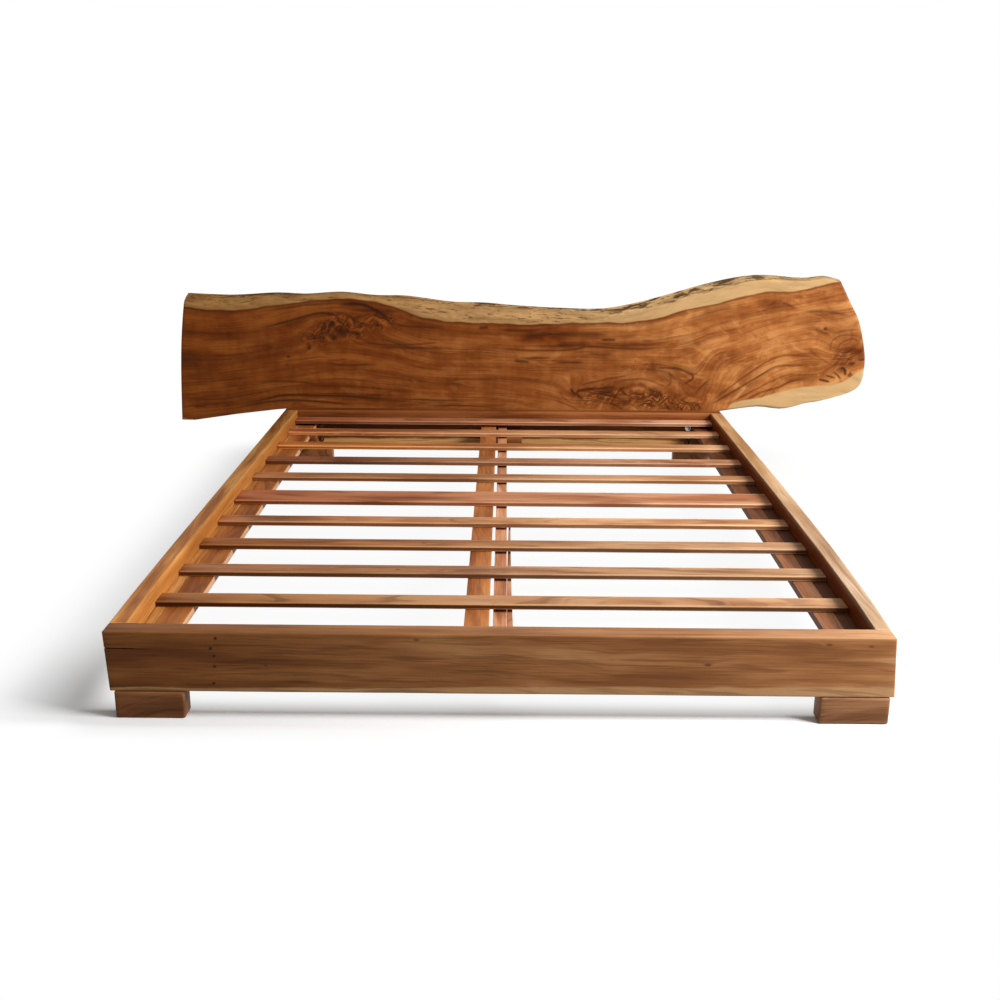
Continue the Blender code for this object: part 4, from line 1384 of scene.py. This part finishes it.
        y_front = y_front + self.stain_depth * marks["knot"]
        y_back = high.y - 0.004 * np.maximum.reduce([
            near_edge(from_top, 0.01), near_edge(from_bottom, 0.006),
            near_edge(from_left, 0.006), near_edge(from_right, 0.01)]) ** 2
        z_back = z - 0.010 * near_edge(from_top, 0.05) ** 1.5
        return self.close(x, (z, z_back), (y_front, y_back), marks, material)

    def figure(self, x: np.ndarray, z: np.ndarray, slope: np.ndarray) -> dict[str, np.ndarray]:
        """Work out the figure of the wood on a grid.

        Args:
            x: Places along the slab.
            z: Heights.
            slope: Share of the natural slope at the top.

        Returns:
            The numbers that the mesh carries.
        """
        share = (x - self.base[0]) / self.length
        heart = self.height(self.heart_line, x)
        floor = self.height((*self.floor_line, *self.lower_line[2:]), x)
        level = (z - floor) / (heart - floor)
        burl = self.marked(x, z, self.burls, 1.0)
        grain = 0.40 * level + self.along(self.foot_line, x) * np.clip(1 - level, 0.0, 1.0) ** 1.6
        for swirl in self.swirls:
            grain = grain + swirl.lift * np.exp(-self.away(x, z, swirl.share, swirl.rise, *swirl.reach))
        grain = grain + 0.014 * layered(x, z, (2.2, 6.0), 2) + 0.003 * layered(x, z, (7.0, 26.0), 2)
        grain = grain + 0.034 * burl * layered(x, z, (12.0, 18.0), 3)
        wander = 0.004 * layered(x, z, (14.0, 14.0), 3)
        top_sap = step_up(z + wander, heart - 0.002, heart + 0.003)
        lower = self.height(((0.0, -1.0), (0.785, -1.0), *self.lower_line), x)
        low_sap = step_up(lower - z + wander, -0.002, 0.003)
        corner = self.base[1] - 0.036 - 0.25 * (x - self.base[0])
        corner_sap = step_up(corner - z + wander, -0.002, 0.002) * (share < 0.05)
        below = heart - z - wander
        tone = np.interp(share, *zip(*self.tones))
        mottle = 1.2 + 0.8 * layered(x, z, (14.0, 26.0), 3)
        for *place, depth in self.shades:
            tone = tone - depth * np.exp(-self.away(x, z, *place)) * mottle
        return {
            "grain": grain,
            "tone": np.clip(tone, 0.0, 1.0),
            "sapwood": np.maximum.reduce([top_sap, low_sap, corner_sap]),
            "wane": np.clip(slope * 4, 0, 1),
            "bark": np.clip((slope - np.interp(share, *zip(*self.bark_line))) * 5, 0, 1),
            "rim": np.where(below > 0, np.exp(-((below / 0.007) ** 2)), 1.0),
            "burl": burl,
            "smoke": 0.75 * self.marked(x, z + wander, self.smokes, 1.0),
            "knot": 0.85 * self.marked(x, z, self.stains, 1.1),
            "vein": self.veined(x, z + 0.3 * wander),
        }

    def veined(self, x: np.ndarray, z: np.ndarray) -> np.ndarray:
        """Draw the veins on a grid.

        Args:
            x: Places along the slab.
            z: Heights.

        Returns:
            Numbers from -1 where a pale vein lies to 1 where a dark one lies.
        """
        shade = np.zeros_like(x)
        for vein in self.veins:
            points = np.array([self.spot(*point) for point in vein.path])
            path = even_curve(points, 24, smooth=len(points) > 2)
            low, high = path.min(axis=0) - 2 * vein.width, path.max(axis=0) + 2 * vein.width
            near = (x > low[0]) & (x < high[0]) & (z > low[1]) & (z < high[1])
            spots = np.stack([x[near], z[near]], axis=-1)[:, None]
            run = np.diff(path, axis=0)
            share = np.clip(((spots - path[:-1]) * run).sum(axis=-1) / (run ** 2).sum(axis=-1), 0.0, 1.0)
            gaps = np.linalg.norm(spots - path[:-1] - share[..., None] * run, axis=-1)
            pick = gaps.argmin(axis=1)
            rows = np.arange(len(pick))
            along = (pick + share[rows, pick]) / len(run)
            ends = np.clip(5 * np.minimum(along, 1 - along), 0.0, 1.0)
            mark = vein.dark * ends * np.exp(-((gaps[rows, pick] / (0.75 * vein.width)) ** 2))
            shade[near] = np.where(np.abs(mark) > np.abs(shade[near]), mark, shade[near])
        return shade

    def away(self, x: np.ndarray, z: np.ndarray, share: float, rise: float, along: float,
             up: float) -> np.ndarray:
        """Squared distance from a place on the slab, in its own reach.

        Args:
            x: Places along the slab.
            z: Heights.
            share: Share of the length.
            rise: Share of the rise.
            along: Reach along the slab.
            up: Reach up the slab.

        Returns:
            Squared distances, 1 at the reach.
        """
        centre = self.spot(share, rise)
        return ((x - centre[0]) / along) ** 2 + ((z - centre[1]) / up) ** 2

    def marked(self, x: np.ndarray, z: np.ndarray, places: Sequence[tuple[float, ...]],
               soft: float) -> np.ndarray:
        """How far each point lies inside a list of places.

        Args:
            x: Places along the slab.
            z: Heights.
            places: Places as share, rise, and reach along and up.
            soft: Width of the border, as a share of the squared reach.

        Returns:
            Numbers from 0 outside to 1 inside.
        """
        inside = [np.clip((1.2 - self.away(x, z, *place)) / soft, 0.0, 1.0) for place in places]
        return np.maximum.reduce(inside)

    def close(self, x: np.ndarray, heights: Sequence[np.ndarray], depths: Sequence[np.ndarray],
              marks: dict[str, np.ndarray], material: bpy.types.Material) -> bpy.types.Object:
        """Join the front and back grids to one closed mesh.

        Args:
            x: Places along the slab.
            heights: Heights of the front and back faces.
            depths: Depths of the front and back faces.
            marks: Numbers that the mesh carries.
            material: Its finish.

        Returns:
            The piece.
        """
        grids = [np.stack([x, y, z], axis=-1).reshape(-1, 3) for y, z in zip(depths, heights)]
        index = np.arange(x.size).reshape(x.shape)
        quads = np.stack([index[:-1, :-1], index[1:, :-1], index[1:, 1:], index[:-1, 1:]], axis=-1)
        quads = quads.reshape(-1, 4)
        rim = np.concatenate([index[:-1, 0], index[-1, :-1], index[1:, -1][::-1], index[0, 1:][::-1]])
        following = np.roll(rim, -1)
        band = np.stack([rim, rim + x.size, following + x.size, following], axis=-1)
        faces = np.concatenate([quads, quads[:, ::-1] + x.size, band]).tolist()
        piece = add_mesh(f"{self.node}_wood", np.concatenate(grids), faces)
        for name, values in marks.items():
            carry(piece.data, name, np.concatenate([values.ravel(), values.ravel()]))
        piece.data.materials.append(material)
        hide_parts(self.node)
        return piece


@dataclass(frozen=True)
class Woods:
    """Timbers of the bed, at its left or foot and at its right or head where they differ; the change is
    partly the wood's own and partly painted light and shade.
    """

    rail_near: Timber = Timber.of((92, 51, 22), (118, 70, 33), (140, 88, 44))
    rail_far: Timber = Timber.of((138, 87, 50), (170, 115, 71), (192, 143, 97))
    head_near: Timber = Timber.of((84, 42, 15), (106, 56, 22), (126, 70, 30))
    head_far: Timber = Timber.of((108, 57, 24), (136, 77, 37), (158, 98, 54))
    left_rail: Timber = Timber.of((148, 86, 36), (194, 128, 64), (224, 162, 92))
    right_rail: Timber = Timber.of((162, 126, 94), (182, 148, 115), (202, 172, 143))
    # Partly painted light: the right rail's head-end tones are brighter and warmer, making up for the lamp's
    # weaker light there.
    right_rail_head_painted_light: Timber = Timber.of((172, 126, 80), (200, 153, 104), (218, 176, 128))
    golden_near: Timber = Timber.of((112, 58, 23), (153, 91, 44), (182, 122, 66))
    golden_far: Timber = Timber.of((156, 104, 66), (192, 142, 102), (214, 171, 132))
    red_near: Timber = Timber.of((112, 54, 28), (150, 84, 50), (172, 104, 66))
    red_far: Timber = Timber.of((164, 104, 70), (198, 140, 102), (220, 168, 132))
    brown_near: Timber = Timber.of((104, 58, 32), (142, 88, 52), (166, 110, 70))
    brown_far: Timber = Timber.of((160, 110, 74), (194, 144, 102), (214, 168, 128))
    bearer: Timber = Timber.of((118, 62, 24), (155, 90, 39), (180, 115, 57))
    brown_bearer: Timber = Timber.of((102, 60, 36), (138, 87, 57), (162, 112, 78))
    brown_bearer_head: Timber = Timber.of((84, 44, 22), (112, 64, 36), (134, 84, 52))
    # Painted shade: the right batten's tones are darkened for the shade of the right rail.
    shaded_batten: Timber = Timber.of((62, 30, 11), (82, 42, 17), (98, 54, 24))
    center: Timber = Timber.of((128, 70, 31), (168, 100, 51), (196, 128, 71))
    lath: Timber = Timber.of((166, 103, 67), (202, 139, 99), (224, 166, 125))
    foot_near: Timber = Timber.of((100, 61, 33), (128, 81, 47), (150, 99, 61))
    foot_far: Timber = Timber.of((120, 78, 50), (153, 106, 72), (174, 128, 92))
    dowel: Timber = Timber.of((160, 120, 78), (196, 156, 108), (220, 184, 138))
    peg: Timber = Timber.of((52, 30, 15), (66, 40, 21), (84, 54, 30))
    pale: Colour = Colour(182, 140, 98)
    top_face_painted_light: Colour = Colour(196, 156, 120)
    low_edge: Colour = Colour(160, 120, 74)
    head_sapwood_painted_light: Colour = Colour(212, 162, 98)
    # Painted colours for inner faces: painted light on the left rail's and the left bearer's, painted shade
    # on the right rail's.
    left_face_painted_light: Colour = Colour(180, 114, 51)
    right_face_painted_shade: Colour = Colour(122, 52, 4)
    bearer_face_painted_light: Colour = Colour(222, 170, 128)


@dataclass(frozen=True)
class Crack:
    """A drying crack in a board's front face.

    Attributes:
        path: Places on the face, across and up, with the crack's width there.
        depth: Depth of the crack.
    """

    path: tuple[tuple[float, float, float], ...]
    depth: float

    def cut(self, piece: bpy.types.Object, place: BedPlace) -> None:
        """Cut the crack into a piece.

        Args:
            piece: The board.
            place: Where the bed lies.
        """
        out = -2 * MILLIMETRE
        points = [place.world(x, depth, z + up / 2) for x, z, width in self.path
                  for depth, up in ((out, width), (out, -width), (self.depth, 0.0))]
        mesh = bpy.data.meshes.new("crack_cutter")
        mesh.from_pydata(points, [], tube_faces(len(self.path), 3))
        cutter = bpy.data.objects.new("crack_cutter", mesh)
        bpy.context.scene.collection.objects.link(cutter)
        modifier = piece.modifiers.new("crack", "BOOLEAN")
        modifier.operation = "DIFFERENCE"
        modifier.solver = "EXACT"
        modifier.object = cutter
        graph = bpy.context.evaluated_depsgraph_get()
        opened = bpy.data.meshes.new_from_object(piece.evaluated_get(graph))
        piece.modifiers.clear()
        opened.set_sharp_from_angle(angle=SHARP_ANGLE)
        piece.data = opened
        bpy.data.objects.remove(cutter)


@dataclass
class BedFrame:
    """The four rails, with pegs in the foot rail and loose tenons between them.

    Attributes:
        woods: Timbers of the bed.
        place: Where the bed lies.
        peg_radius: Radius of the pegs.
        peg_depth: How deep a peg sits in the rail.
        peg_crown: How far a peg stands proud.
        pegs: Places of the pegs on the foot rail's front, across and up.
        knots: Knots in the foot rail's front: across, up, radius and how dark.
        crack: Crack at the foot rail's left end.
        lean: How the foot rail's ends are cut off square.
    """

    woods: Woods
    place: BedPlace
    peg_radius: float = 0.0031
    peg_depth: float = 0.006
    peg_crown: float = 0.0004
    pegs: tuple[tuple[float, float], ...] = (
        (-0.579, 0.181), (-0.590, 0.159), (-0.584, 0.142), (-0.584, 0.119), (-0.588, 0.081))
    knots: tuple[tuple[float, float, float, float], ...] = (
        (0.669, 0.178, 0.005, 0.45), (0.755, 0.175, 0.004, 0.45), (0.425, 0.131, 0.005, 0.45),
        (-0.170, 0.181, 0.005, 0.45), (-0.480, 0.121, 0.003, 0.5))
    crack: Crack = Crack((
        (-0.816, 0.1565, 0.0046), (-0.780, 0.1562, 0.0038), (-0.745, 0.1556, 0.0028),
        (-0.712, 0.1560, 0.0006)), 0.020)
    lean: tuple[float, float, float, float] = (0.003, -0.003, 0.006, -0.002)

    def build_foot_rail(self) -> None:
        """Build and dress the foot rail with its crack and pegs."""
        woods = self.woods
        finish = PlankFinish(
            "foot_rail_wood", Grain.ACROSS_BED, woods.rail_near, woods.rail_far, 1.0,
            heart=(-0.42, -0.05), streak=0.4,
            knots=tuple(Knot((x, 0.0, z), radius, dark) for x, z, radius, dark in self.knots),
            sapwood=(Sapwood(2, 0.078, -1, 0.011, 0.018, woods.pale, 0.75),
                     # Painted light: a pale strip along the top face stands in for the light that falls on
                     # it.
                     Sapwood(2, 0.1945, 1, 0.004, 0.003, woods.top_face_painted_light, 0.50),
                     Sapwood(2, 0.059, -1, -0.011, 0.016, woods.low_edge, 0.60)),
        )
        board = SoftBoard("foot_rail", Grain.ACROSS_BED, "rail_wood", stations=110, waver=0.0010,
                          face_points=8, lean=self.lean)
        self.crack.cut(board.build(finish.material(self.place)), self.place)
        radius, crown = self.peg_radius, self.peg_radius * 0.8
        profile = ((radius, -self.peg_depth), (radius, 0.0), (crown, self.peg_crown),
                   (crown * 0.4, self.peg_crown * 1.3))
        ahead = Vector((0, -1, 0))
        pegs = [turned(f"peg_{number}", profile, self.place.world(x, 0.0, z), ahead)
                for number, (x, z) in enumerate(self.pegs)]
        wood = PlankFinish("peg_wood", Grain.ALONG_BED, woods.peg, woods.peg, 5.0).material(self.place)
        join("foot_rail_pegs", pegs, wood)
        LOG.info("foot rail")

    def build(self) -> None:
        """Build and dress the rails."""
        woods = self.woods
        self.build_foot_rail()
        head = PlankFinish(
            "head_rail_wood", Grain.ACROSS_BED, woods.head_near, woods.head_far, 2.0,
            # Painted highlight: the raised edge paleness lights the head rail's arrises.
            heart=(1.80, 0.40), wear_and_highlight=1.0,
            # The pale lower strip is sapwood, its colour raised as painted light to lift it out of the shade
            # behind the slats.
            sapwood=(Sapwood(2, 0.090, -1, 0.0, 0.030, woods.head_sapwood_painted_light, 0.80),))
        SoftBoard("head_rail", Grain.ACROSS_BED, "rail_wood", stations=90).build(head.material(self.place))
        LOG.info("head rail")
        # The inner faces take painted tones: painted light on the left rail's, which faces the lamp, and
        # painted shade on the right rail's, which faces away from it.
        sides = (("left", woods.left_rail, woods.left_rail.lit(0.62), -0.62, 0.75, woods.left_face_painted_light,
                  (0.0, 1.0)),
                 ("right", woods.right_rail, woods.right_rail_head_painted_light, 0.55, 1.0, woods.right_face_painted_shade,
                  (1.0, 0.0)))
        for seed, (side, near, far, heart, shade, face, inner) in enumerate(sides, start=3):
            finish = PlankFinish(
                f"{side}_rail_wood", Grain.ALONG_BED, near, far, seed, heart=(heart, -0.15), streak=0.4,
                edge_shade=shade, edge_colour=face)
            board = BowedBoard(f"{side}_side_rail", Grain.ALONG_BED, "rail_wood", arris=0.0035, stations=90,
                               shaded=inner)
            board.build(finish.material(self.place))
            LOG.info("%s side rail", side)
        tenon = PlankFinish("tenon_wood", Grain.ALONG_BED, woods.dowel, woods.dowel, 6.0).material(self.place)
        dress([f"{end}_{side}_tenon" for end in ENDS for side in SIDES], tenon)
        LOG.info("tenons")


@dataclass
class Deck:
    """The slats, the bearers under them, and their battens, blocks and screws.

    Attributes:
        woods: Timbers of the bed.
        place: Where the bed lies.
        reds: Slats of redder wood, counted from the foot.
        browns: Slats of browner wood.
        blotched: Slats with pale patches.
        lights: How much paler or darker each slat is than its kind, at its left and right; partly the slats'
            own tones and partly painted light and shade.
        front_tone_and_shade: How dark each slat's front face is, partly its own darker wood and partly
            painted shade.
        slat_count: Number of slats.
        slat_arris: Radius of the slats' worn edges.
        screw_radius: Radius of a screw head.
        screw_height: How far a screw head stands proud.
    """

    woods: Woods
    place: BedPlace
    reds: tuple[int, ...] = (5, 7, 10)
    browns: tuple[int, ...] = (2, 4, 6, 9)
    blotched: tuple[int, ...] = (2, 7, 9)
    lights: dict[int, tuple[float, float]] = field(default_factory=lambda: {
        1: (0.80, 0.94), 2: (0.96, 0.84), 3: (1.0, 0.86), 4: (1.35, 1.25), 5: (1.08, 1.12),
        6: (1.12, 1.12), 7: (0.55, 1.0), 8: (1.65, 1.32), 9: (1.75, 1.10), 10: (1.0, 1.08)})
    front_tone_and_shade: dict[int, float] = field(default_factory=lambda: {
        1: 1.0, 2: 0.85, 3: 0.85, 4: 0.70, 5: 0.60, 6: 0.60, 7: 0.60, 8: 0.45, 9: 0.25, 10: 0.60})
    slat_count: int = 10
    slat_arris: float = 0.0024
    screw_radius: float = 0.0042
    screw_height: float = 0.0007

    def build_slats(self) -> None:
        """Build and dress the slats."""
        woods = self.woods
        knots = {3: (Knot((-0.200, 0.680, 0.159), 0.004),), 2: (Knot((-0.250, 0.480, 0.159), 0.005),)}
        for number in range(1, self.slat_count + 1):
            near, far = woods.golden_near, woods.golden_far
            if number in self.reds:
                near, far = woods.red_near, woods.red_far
            if number in self.browns:
                near, far = woods.brown_near, woods.brown_far
            # Partly painted light: each slat's factors at left and right hold its own tone and painted light
            # and shade.
            left, right = self.lights[number]
            near, far = near.lit(left), far.lit(right)
            low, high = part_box(f"slat_{number:02d}")
            middle = (low.y + high.y) / 2 - self.place.front
            # Painted shade in part: each slat's front face is darkened by its own factor.
            finish = PlankFinish(
                f"slat_{number:02d}_wood", Grain.ACROSS_BED, near, far, 10.0 + number,
                heart=(middle + 0.05 * (number % 3 - 1), 0.06 - 0.10 * (number % 2)),
                slope=0.015 * (number % 3 - 1), streak=0.5, blotch=0.4 if number in self.blotched else 0.0,
                # Painted highlight: the raised edge paleness lights the slats' arrises.
                edge_shade=self.front_tone_and_shade[number], wear_and_highlight=0.95, knots=knots.get(number, ()))
            board = SoftBoard(
                f"slat_{number:02d}", Grain.ACROSS_BED, "slat_wood", self.slat_arris,
                waver=0.0005, stations=64)
            board.build(finish.material(self.place))
        LOG.info("%d slats", self.slat_count)

    def build_bearers(self) -> None:
        """Build and dress the bearers, laths, battens and blocks."""
        woods = self.woods
        kinds = {"left_bearer": (woods.bearer, woods.bearer),
                 "right_bearer": (woods.brown_bearer, woods.brown_bearer_head),
                 "center_bearer": (woods.center, woods.center), "center_lath": (woods.lath, woods.lath)}
        for seed, (node, (near, far)) in enumerate(kinds.items(), start=30):
            low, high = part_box(node)
            middle = (low.x + high.x) / 2 - self.place.middle
            # Painted light: the left bearer's inner face takes a pale lit tone.
            finish = PlankFinish(
                f"{node}_wood", Grain.ALONG_BED, near, far, seed, heart=(middle + 0.03, 0.05), streak=0.4,
                edge_shade=0.8 if node == "left_bearer" else 0.0, edge_colour=woods.bearer_face_painted_light,
                wear_and_highlight=0.15 if node == "center_lath" else 0.40)
            board = SoftBoard(node, Grain.ALONG_BED, "bearer_wood", arris=0.0012, waver=0.0004, stations=60,
                              shaded=(0.0, 1.0))
            board.build(finish.material(self.place))
            LOG.info(node)
        battens = zip(SIDES, (woods.left_rail.lit(0.80), woods.shaded_batten))
        for seed, (side, timber) in enumerate(battens, start=40):
            batten = PlankFinish(f"{side}_batten_wood", Grain.ALONG_BED, timber, timber, seed)
            dress([f"{side}_side_batten"], batten.material(self.place))
        shaded = woods.lath.lit(0.8)
        strip = PlankFinish("lath_strip_wood", Grain.ALONG_BED, shaded, shaded, 42.0)
        dress(["center_lath_strip"], strip.material(self.place))
        block = PlankFinish("block_wood", Grain.ACROSS_BED, woods.bearer, woods.brown_bearer, 43.0)
        wood = block.material(self.place)
        for end in ("foot", "head"):
            for side in ("left", "center", "right"):
                board = SoftBoard(f"{end}_{side}_block", Grain.ACROSS_BED, "bearer_wood", 0.002, 0.0004, 6)
                board.build(wood)
        LOG.info("battens and blocks")

    def build_screws(self, steel: bpy.types.Material) -> None:
        """Drive a screw up through each bearer into each slat.

        Args:
            steel: Finish of the screws.
        """
        radius, height = self.screw_radius, self.screw_height
        profile = ((radius * 0.4, -0.004), (radius, 0.0), (radius * 0.86, height * 0.8),
                   (radius * 0.45, height), (radius * 0.30, height * 0.1))
        down = Vector((0, 0, -1))
        for bearer in ("left_bearer", "center_bearer", "right_bearer"):
            low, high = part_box(bearer)
            heads = []
            for number in range(1, self.slat_count + 1):
                near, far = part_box(f"slat_{number:02d}")
                spot = Vector(((low.x + high.x) / 2, (near.y + far.y) / 2, low.z))
                heads.append(turned(f"{bearer}_screw_{number}", profile, spot, down, 12))
            join(f"{bearer}_screws", heads, steel)
        LOG.info("bearer screws")


@dataclass
class Feet:
    """The corner feet and the middle foot.

    Attributes:
        woods: Timbers of the bed.
        place: Where the bed lies.
        arris: Radius of the feet's worn edges.
        rear_painted_light: How much paler the feet behind the front ones are, painted light that lifts them
            out of the shade under the bed.
    """

    woods: Woods
    place: BedPlace
    arris: float = 0.0045
    rear_painted_light: float = 1.7

    def build(self, steel: bpy.types.Material) -> None:
        """Build and dress the feet and their fixings.

        Args:
            steel: Finish of the screws.
        """
        woods = self.woods
        corners = [f"{end}_{side}_foot" for end in ENDS for side in SIDES]
        for number, node in enumerate([*corners, "center_foot"]):
            # Painted light: the feet behind the front ones are made paler to lift them out of their shade.
            light = 1.0 if node.startswith("front") else self.rear_painted_light
            near, far = woods.foot_near.lit(light), woods.foot_far.lit(light)
            finish = PlankFinish(f"{node}_wood", Grain.ACROSS_BED, near, far, 50.0 + number,
                                 heart=(0.30, -0.10), slope=0.10)
            board = SoftBoard(node, Grain.ACROSS_BED, "foot_wood", self.arris, waver=0.0005, stations=18)
            board.build(finish.material(self.place))
            LOG.info(node)
        dress([f"{node}_screw" for node in corners], steel)
        dowel = PlankFinish("foot_dowel_wood", Grain.UPRIGHT, woods.dowel, woods.dowel, 60.0)
        dress(["center_foot_dowel"], dowel.material(self.place))


@dataclass
class HeadboardMount:
    """Posts, bolts, nuts and screws that carry the slab."""

    woods: Woods
    place: BedPlace

    def build(self, bright: bpy.types.Material, dark: bpy.types.Material) -> None:
        """Dress the posts and their fixings.

        Args:
            bright: Finish of plated steel.
            dark: Finish of blackened steel.
        """
        timber = self.woods.bearer
        for number, side in enumerate(SIDES):
            finish = PlankFinish(f"{side}_post_wood", Grain.UPRIGHT, timber, timber, 70.0 + number)
            dress([f"{side}_headboard_post"], finish.material(self.place))
        # Painted shade: every bolt but the upper right one takes a darkened steel, so that it sits dark in
        # its shade without a glint.
        shade_dark_steel = SteelFinish("shade_darkened_steel", Colour(88, 54, 30), 0.55).material()
        for kind, steel in (("headboard_nut", dark), ("slab_screw", dark), ("headboard_bolt", shade_dark_steel)):
            dress([f"{kind}_{side}_{level}" for side in SIDES for level in LEVELS], steel)
        dress(["headboard_bolt_right_upper"], bright)
        LOG.info("headboard posts and fixings")


@dataclass
class Studio:
    """Floor, light and camera.

    Attributes:
        place: Where the bed lies.
        eye: Camera's place on the bed.
        turn: Camera's turn to the right, its tilt down and its roll, in degrees.
        lens: Focal length for a sensor 36 mm wide.
        floor_reach: Half the floor's side.
        floor_bounce: Share of the light that the floor gives back to the bed.
        shadow_share: How much of the shadow the floor shows beside the bed, under it, and at the front feet.
        shadow_fade: Distances from the bed at which the shadow starts and ends to fade.
        contact_reach: How far from the rails the full shadow reaches.
        contact_share: How much of the shadow shows under the foot rail's front.
        lamp_spot: Place of the soft lamp on the bed.
        lamp_aim: Place on the bed that it points at.
        lamp_size: Length of its sides.
        lamp_power: Its power in watts.
        sky_tilt: Direction that the sky is brightest in, and how much brighter.
        sky_level: Strength of the sky on the level.
        sky_least: Least strength of the sky.
    """

    place: BedPlace
    eye: tuple[float, float, float] = (0.0048, -2.2583, 1.1558)
    turn: tuple[float, float, float] = (-0.1849, 16.6658, 0.4270)
    lens: float = 43.2715
    floor_reach: float = 30.0
    floor_bounce: float = 0.36
    shadow_share: tuple[float, float, float] = (0.58, 0.12, 1.0)
    shadow_fade: tuple[float, float] = (0.0, 0.38)
    contact_reach: float = 0.11
    contact_share: float = 0.75
    lamp_spot: tuple[float, float, float] = (3.0, -0.8, 2.4)
    lamp_aim: tuple[float, float, float] = (0.0, 0.9, 0.2)
    lamp_size: float = 1.5
    lamp_power: float = 236.0
    sky_tilt: tuple[float, float, float] = (0.20, -0.07, 0.37)
    sky_level: float = 0.10
    sky_least: float = 0.05

    def camera(self) -> None:
        """Set the camera at the photograph's viewing angle."""
        yaw, pitch, roll = (math.radians(angle) for angle in self.turn)
        ahead = Vector((math.sin(yaw) * math.cos(pitch), math.cos(yaw) * math.cos(pitch), -math.sin(pitch)))
        right = Vector((math.cos(yaw), -math.sin(yaw), 0.0))
        over = right.cross(ahead)
        level = math.cos(roll) * right + math.sin(roll) * over
        upright = math.cos(roll) * over - math.sin(roll) * right
        data = bpy.data.cameras.new("bed_camera")
        data.sensor_width = 36.0
        data.lens = self.lens
        camera = bpy.data.objects.new("bed_camera", data)
        turn = Matrix((level, upright, -ahead)).transposed()
        camera.matrix_world = Matrix.Translation(self.place.world(*self.eye)) @ turn.to_4x4()
        bpy.context.scene.collection.objects.link(camera)
        bpy.context.scene.camera = camera

    def shadow(self, graph: Graph) -> Value:
        """Share of shadow that the floor shows, from the distance to the bed's rails.

        Args:
            graph: The floor's node tree.

        Returns:
            The share.
        """
        low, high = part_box("foot_rail")[0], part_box("head_rail")[1]
        x, y, _ = graph.separate(graph.place())
        aside, ahead = (
            graph.math("ABSOLUTE", spot - (low[axis] + high[axis]) / 2) - (high[axis] - low[axis]) / 2
            for axis, spot in enumerate((x, y)))
        beside, under, front = self.shadow_share
        outside = graph.combine(graph.largest(aside, 0.0), graph.largest(ahead, 0.0), 0.0)
        fade = graph.smooth(graph.vector("LENGTH", outside), *self.shadow_fade)
        share = graph.smooth(y, low.y + 0.50, low.y + 0.10) * (front - beside) + beside
        share = share * (1.0 - fade) * graph.smooth(y, low.y - 0.05, low.y)
        within = graph.smooth(aside, self.contact_reach, 0.0)
        inside = within * graph.smooth(y, low.y, low.y + 0.05)
        share = share * (1.0 - inside * (1.0 - under))
        contact = graph.smooth(graph.math("ABSOLUTE", y - low.y), self.contact_reach, 0.0)
        return graph.math("ADD", share, within * (contact * self.contact_share), clamp=True)

    def floor(self) -> None:
        """Lay a pale floor that is white to the camera and keeps the bed's shadow."""
        reach = self.floor_reach
        corners = [(-reach, -reach, 0), (reach, -reach, 0), (reach, reach, 0), (-reach, reach, 0)]
        mesh = bpy.data.meshes.new("studio_floor")
        mesh.from_pydata(corners, [], [(0, 1, 2, 3)])
        floor = bpy.data.objects.new("studio_floor", mesh)
        bpy.context.scene.collection.objects.link(floor)
        graph = FinishGraph("studio_floor")
        seen = graph.seen()
        dull = (self.floor_bounce, self.floor_bounce, self.floor_bounce, 1.0)
        graph.finish(graph.mix(seen, dull, (0.9, 0.9, 0.9, 1.0)), 0.9, Specular_IOR_Level=0.0)
        glow = graph.node("Emission", {"Strength": 1.0})
        matt = Value(graph, graph.shader.outputs[0])
        blend = graph.node("MixShader", {0: seen * (1.0 - self.shadow(graph)), 1: matt, 2: glow})
        graph.feed(graph.output.inputs["Surface"], blend)
        mesh.materials.append(graph.material)

    def light(self) -> None:
        """Set soft studio light, strongest from the right and above, on a white background."""
        data = bpy.data.lights.new("key_lamp", "AREA")
        data.size = self.lamp_size
        data.energy = self.lamp_power
        lamp = bpy.data.objects.new("key_lamp", data)
        lamp.location = self.place.world(*self.lamp_spot)
        beam = Vector(self.lamp_aim) - Vector(self.lamp_spot)
        lamp.rotation_euler = beam.to_track_quat("-Z", "Y").to_euler()
        bpy.context.scene.collection.objects.link(lamp)
        world = bpy.data.worlds.new("studio")
        bpy.context.scene.world = world
        world.use_nodes = True
        graph = Graph(world.node_tree)
        tilt = graph.vector("DOT_PRODUCT", graph.node("TexCoord", {}, "Generated"), self.sky_tilt)
        level = graph.largest(tilt + self.sky_level, self.sky_least)
        sky = graph.nodes["Background"]
        sky.inputs["Color"].default_value = (1.0, 1.0, 1.0, 1.0)
        graph.feed(sky.inputs["Strength"], graph.largest(level, graph.seen()))
        bpy.context.scene.view_settings.view_transform = "Standard"

    def build(self) -> None:
        """Build the studio."""
        self.camera()
        self.floor()
        self.light()
        LOG.info("studio")


def main() -> None:
    """Build every sub-assembly, logging each as it is built."""
    logging.basicConfig(level=logging.INFO)
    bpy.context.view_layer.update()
    place = BedPlace.find()
    woods = Woods()
    bright = SteelFinish("plated_steel", Colour(206, 206, 202), 0.24).material()
    dark = SteelFinish("blackened_steel", Colour(62, 58, 54), 0.42).material()
    Studio(place).build()
    BedFrame(woods, place).build()
    Feet(woods, place).build(dark)
    deck = Deck(woods, place)
    deck.build_slats()
    deck.build_bearers()
    deck.build_screws(dark)
    Slab().build(SlabFinish().material())
    LOG.info("headboard slab")
    HeadboardMount(woods, place).build(bright, dark)


if __name__ == "__main__":
    main()
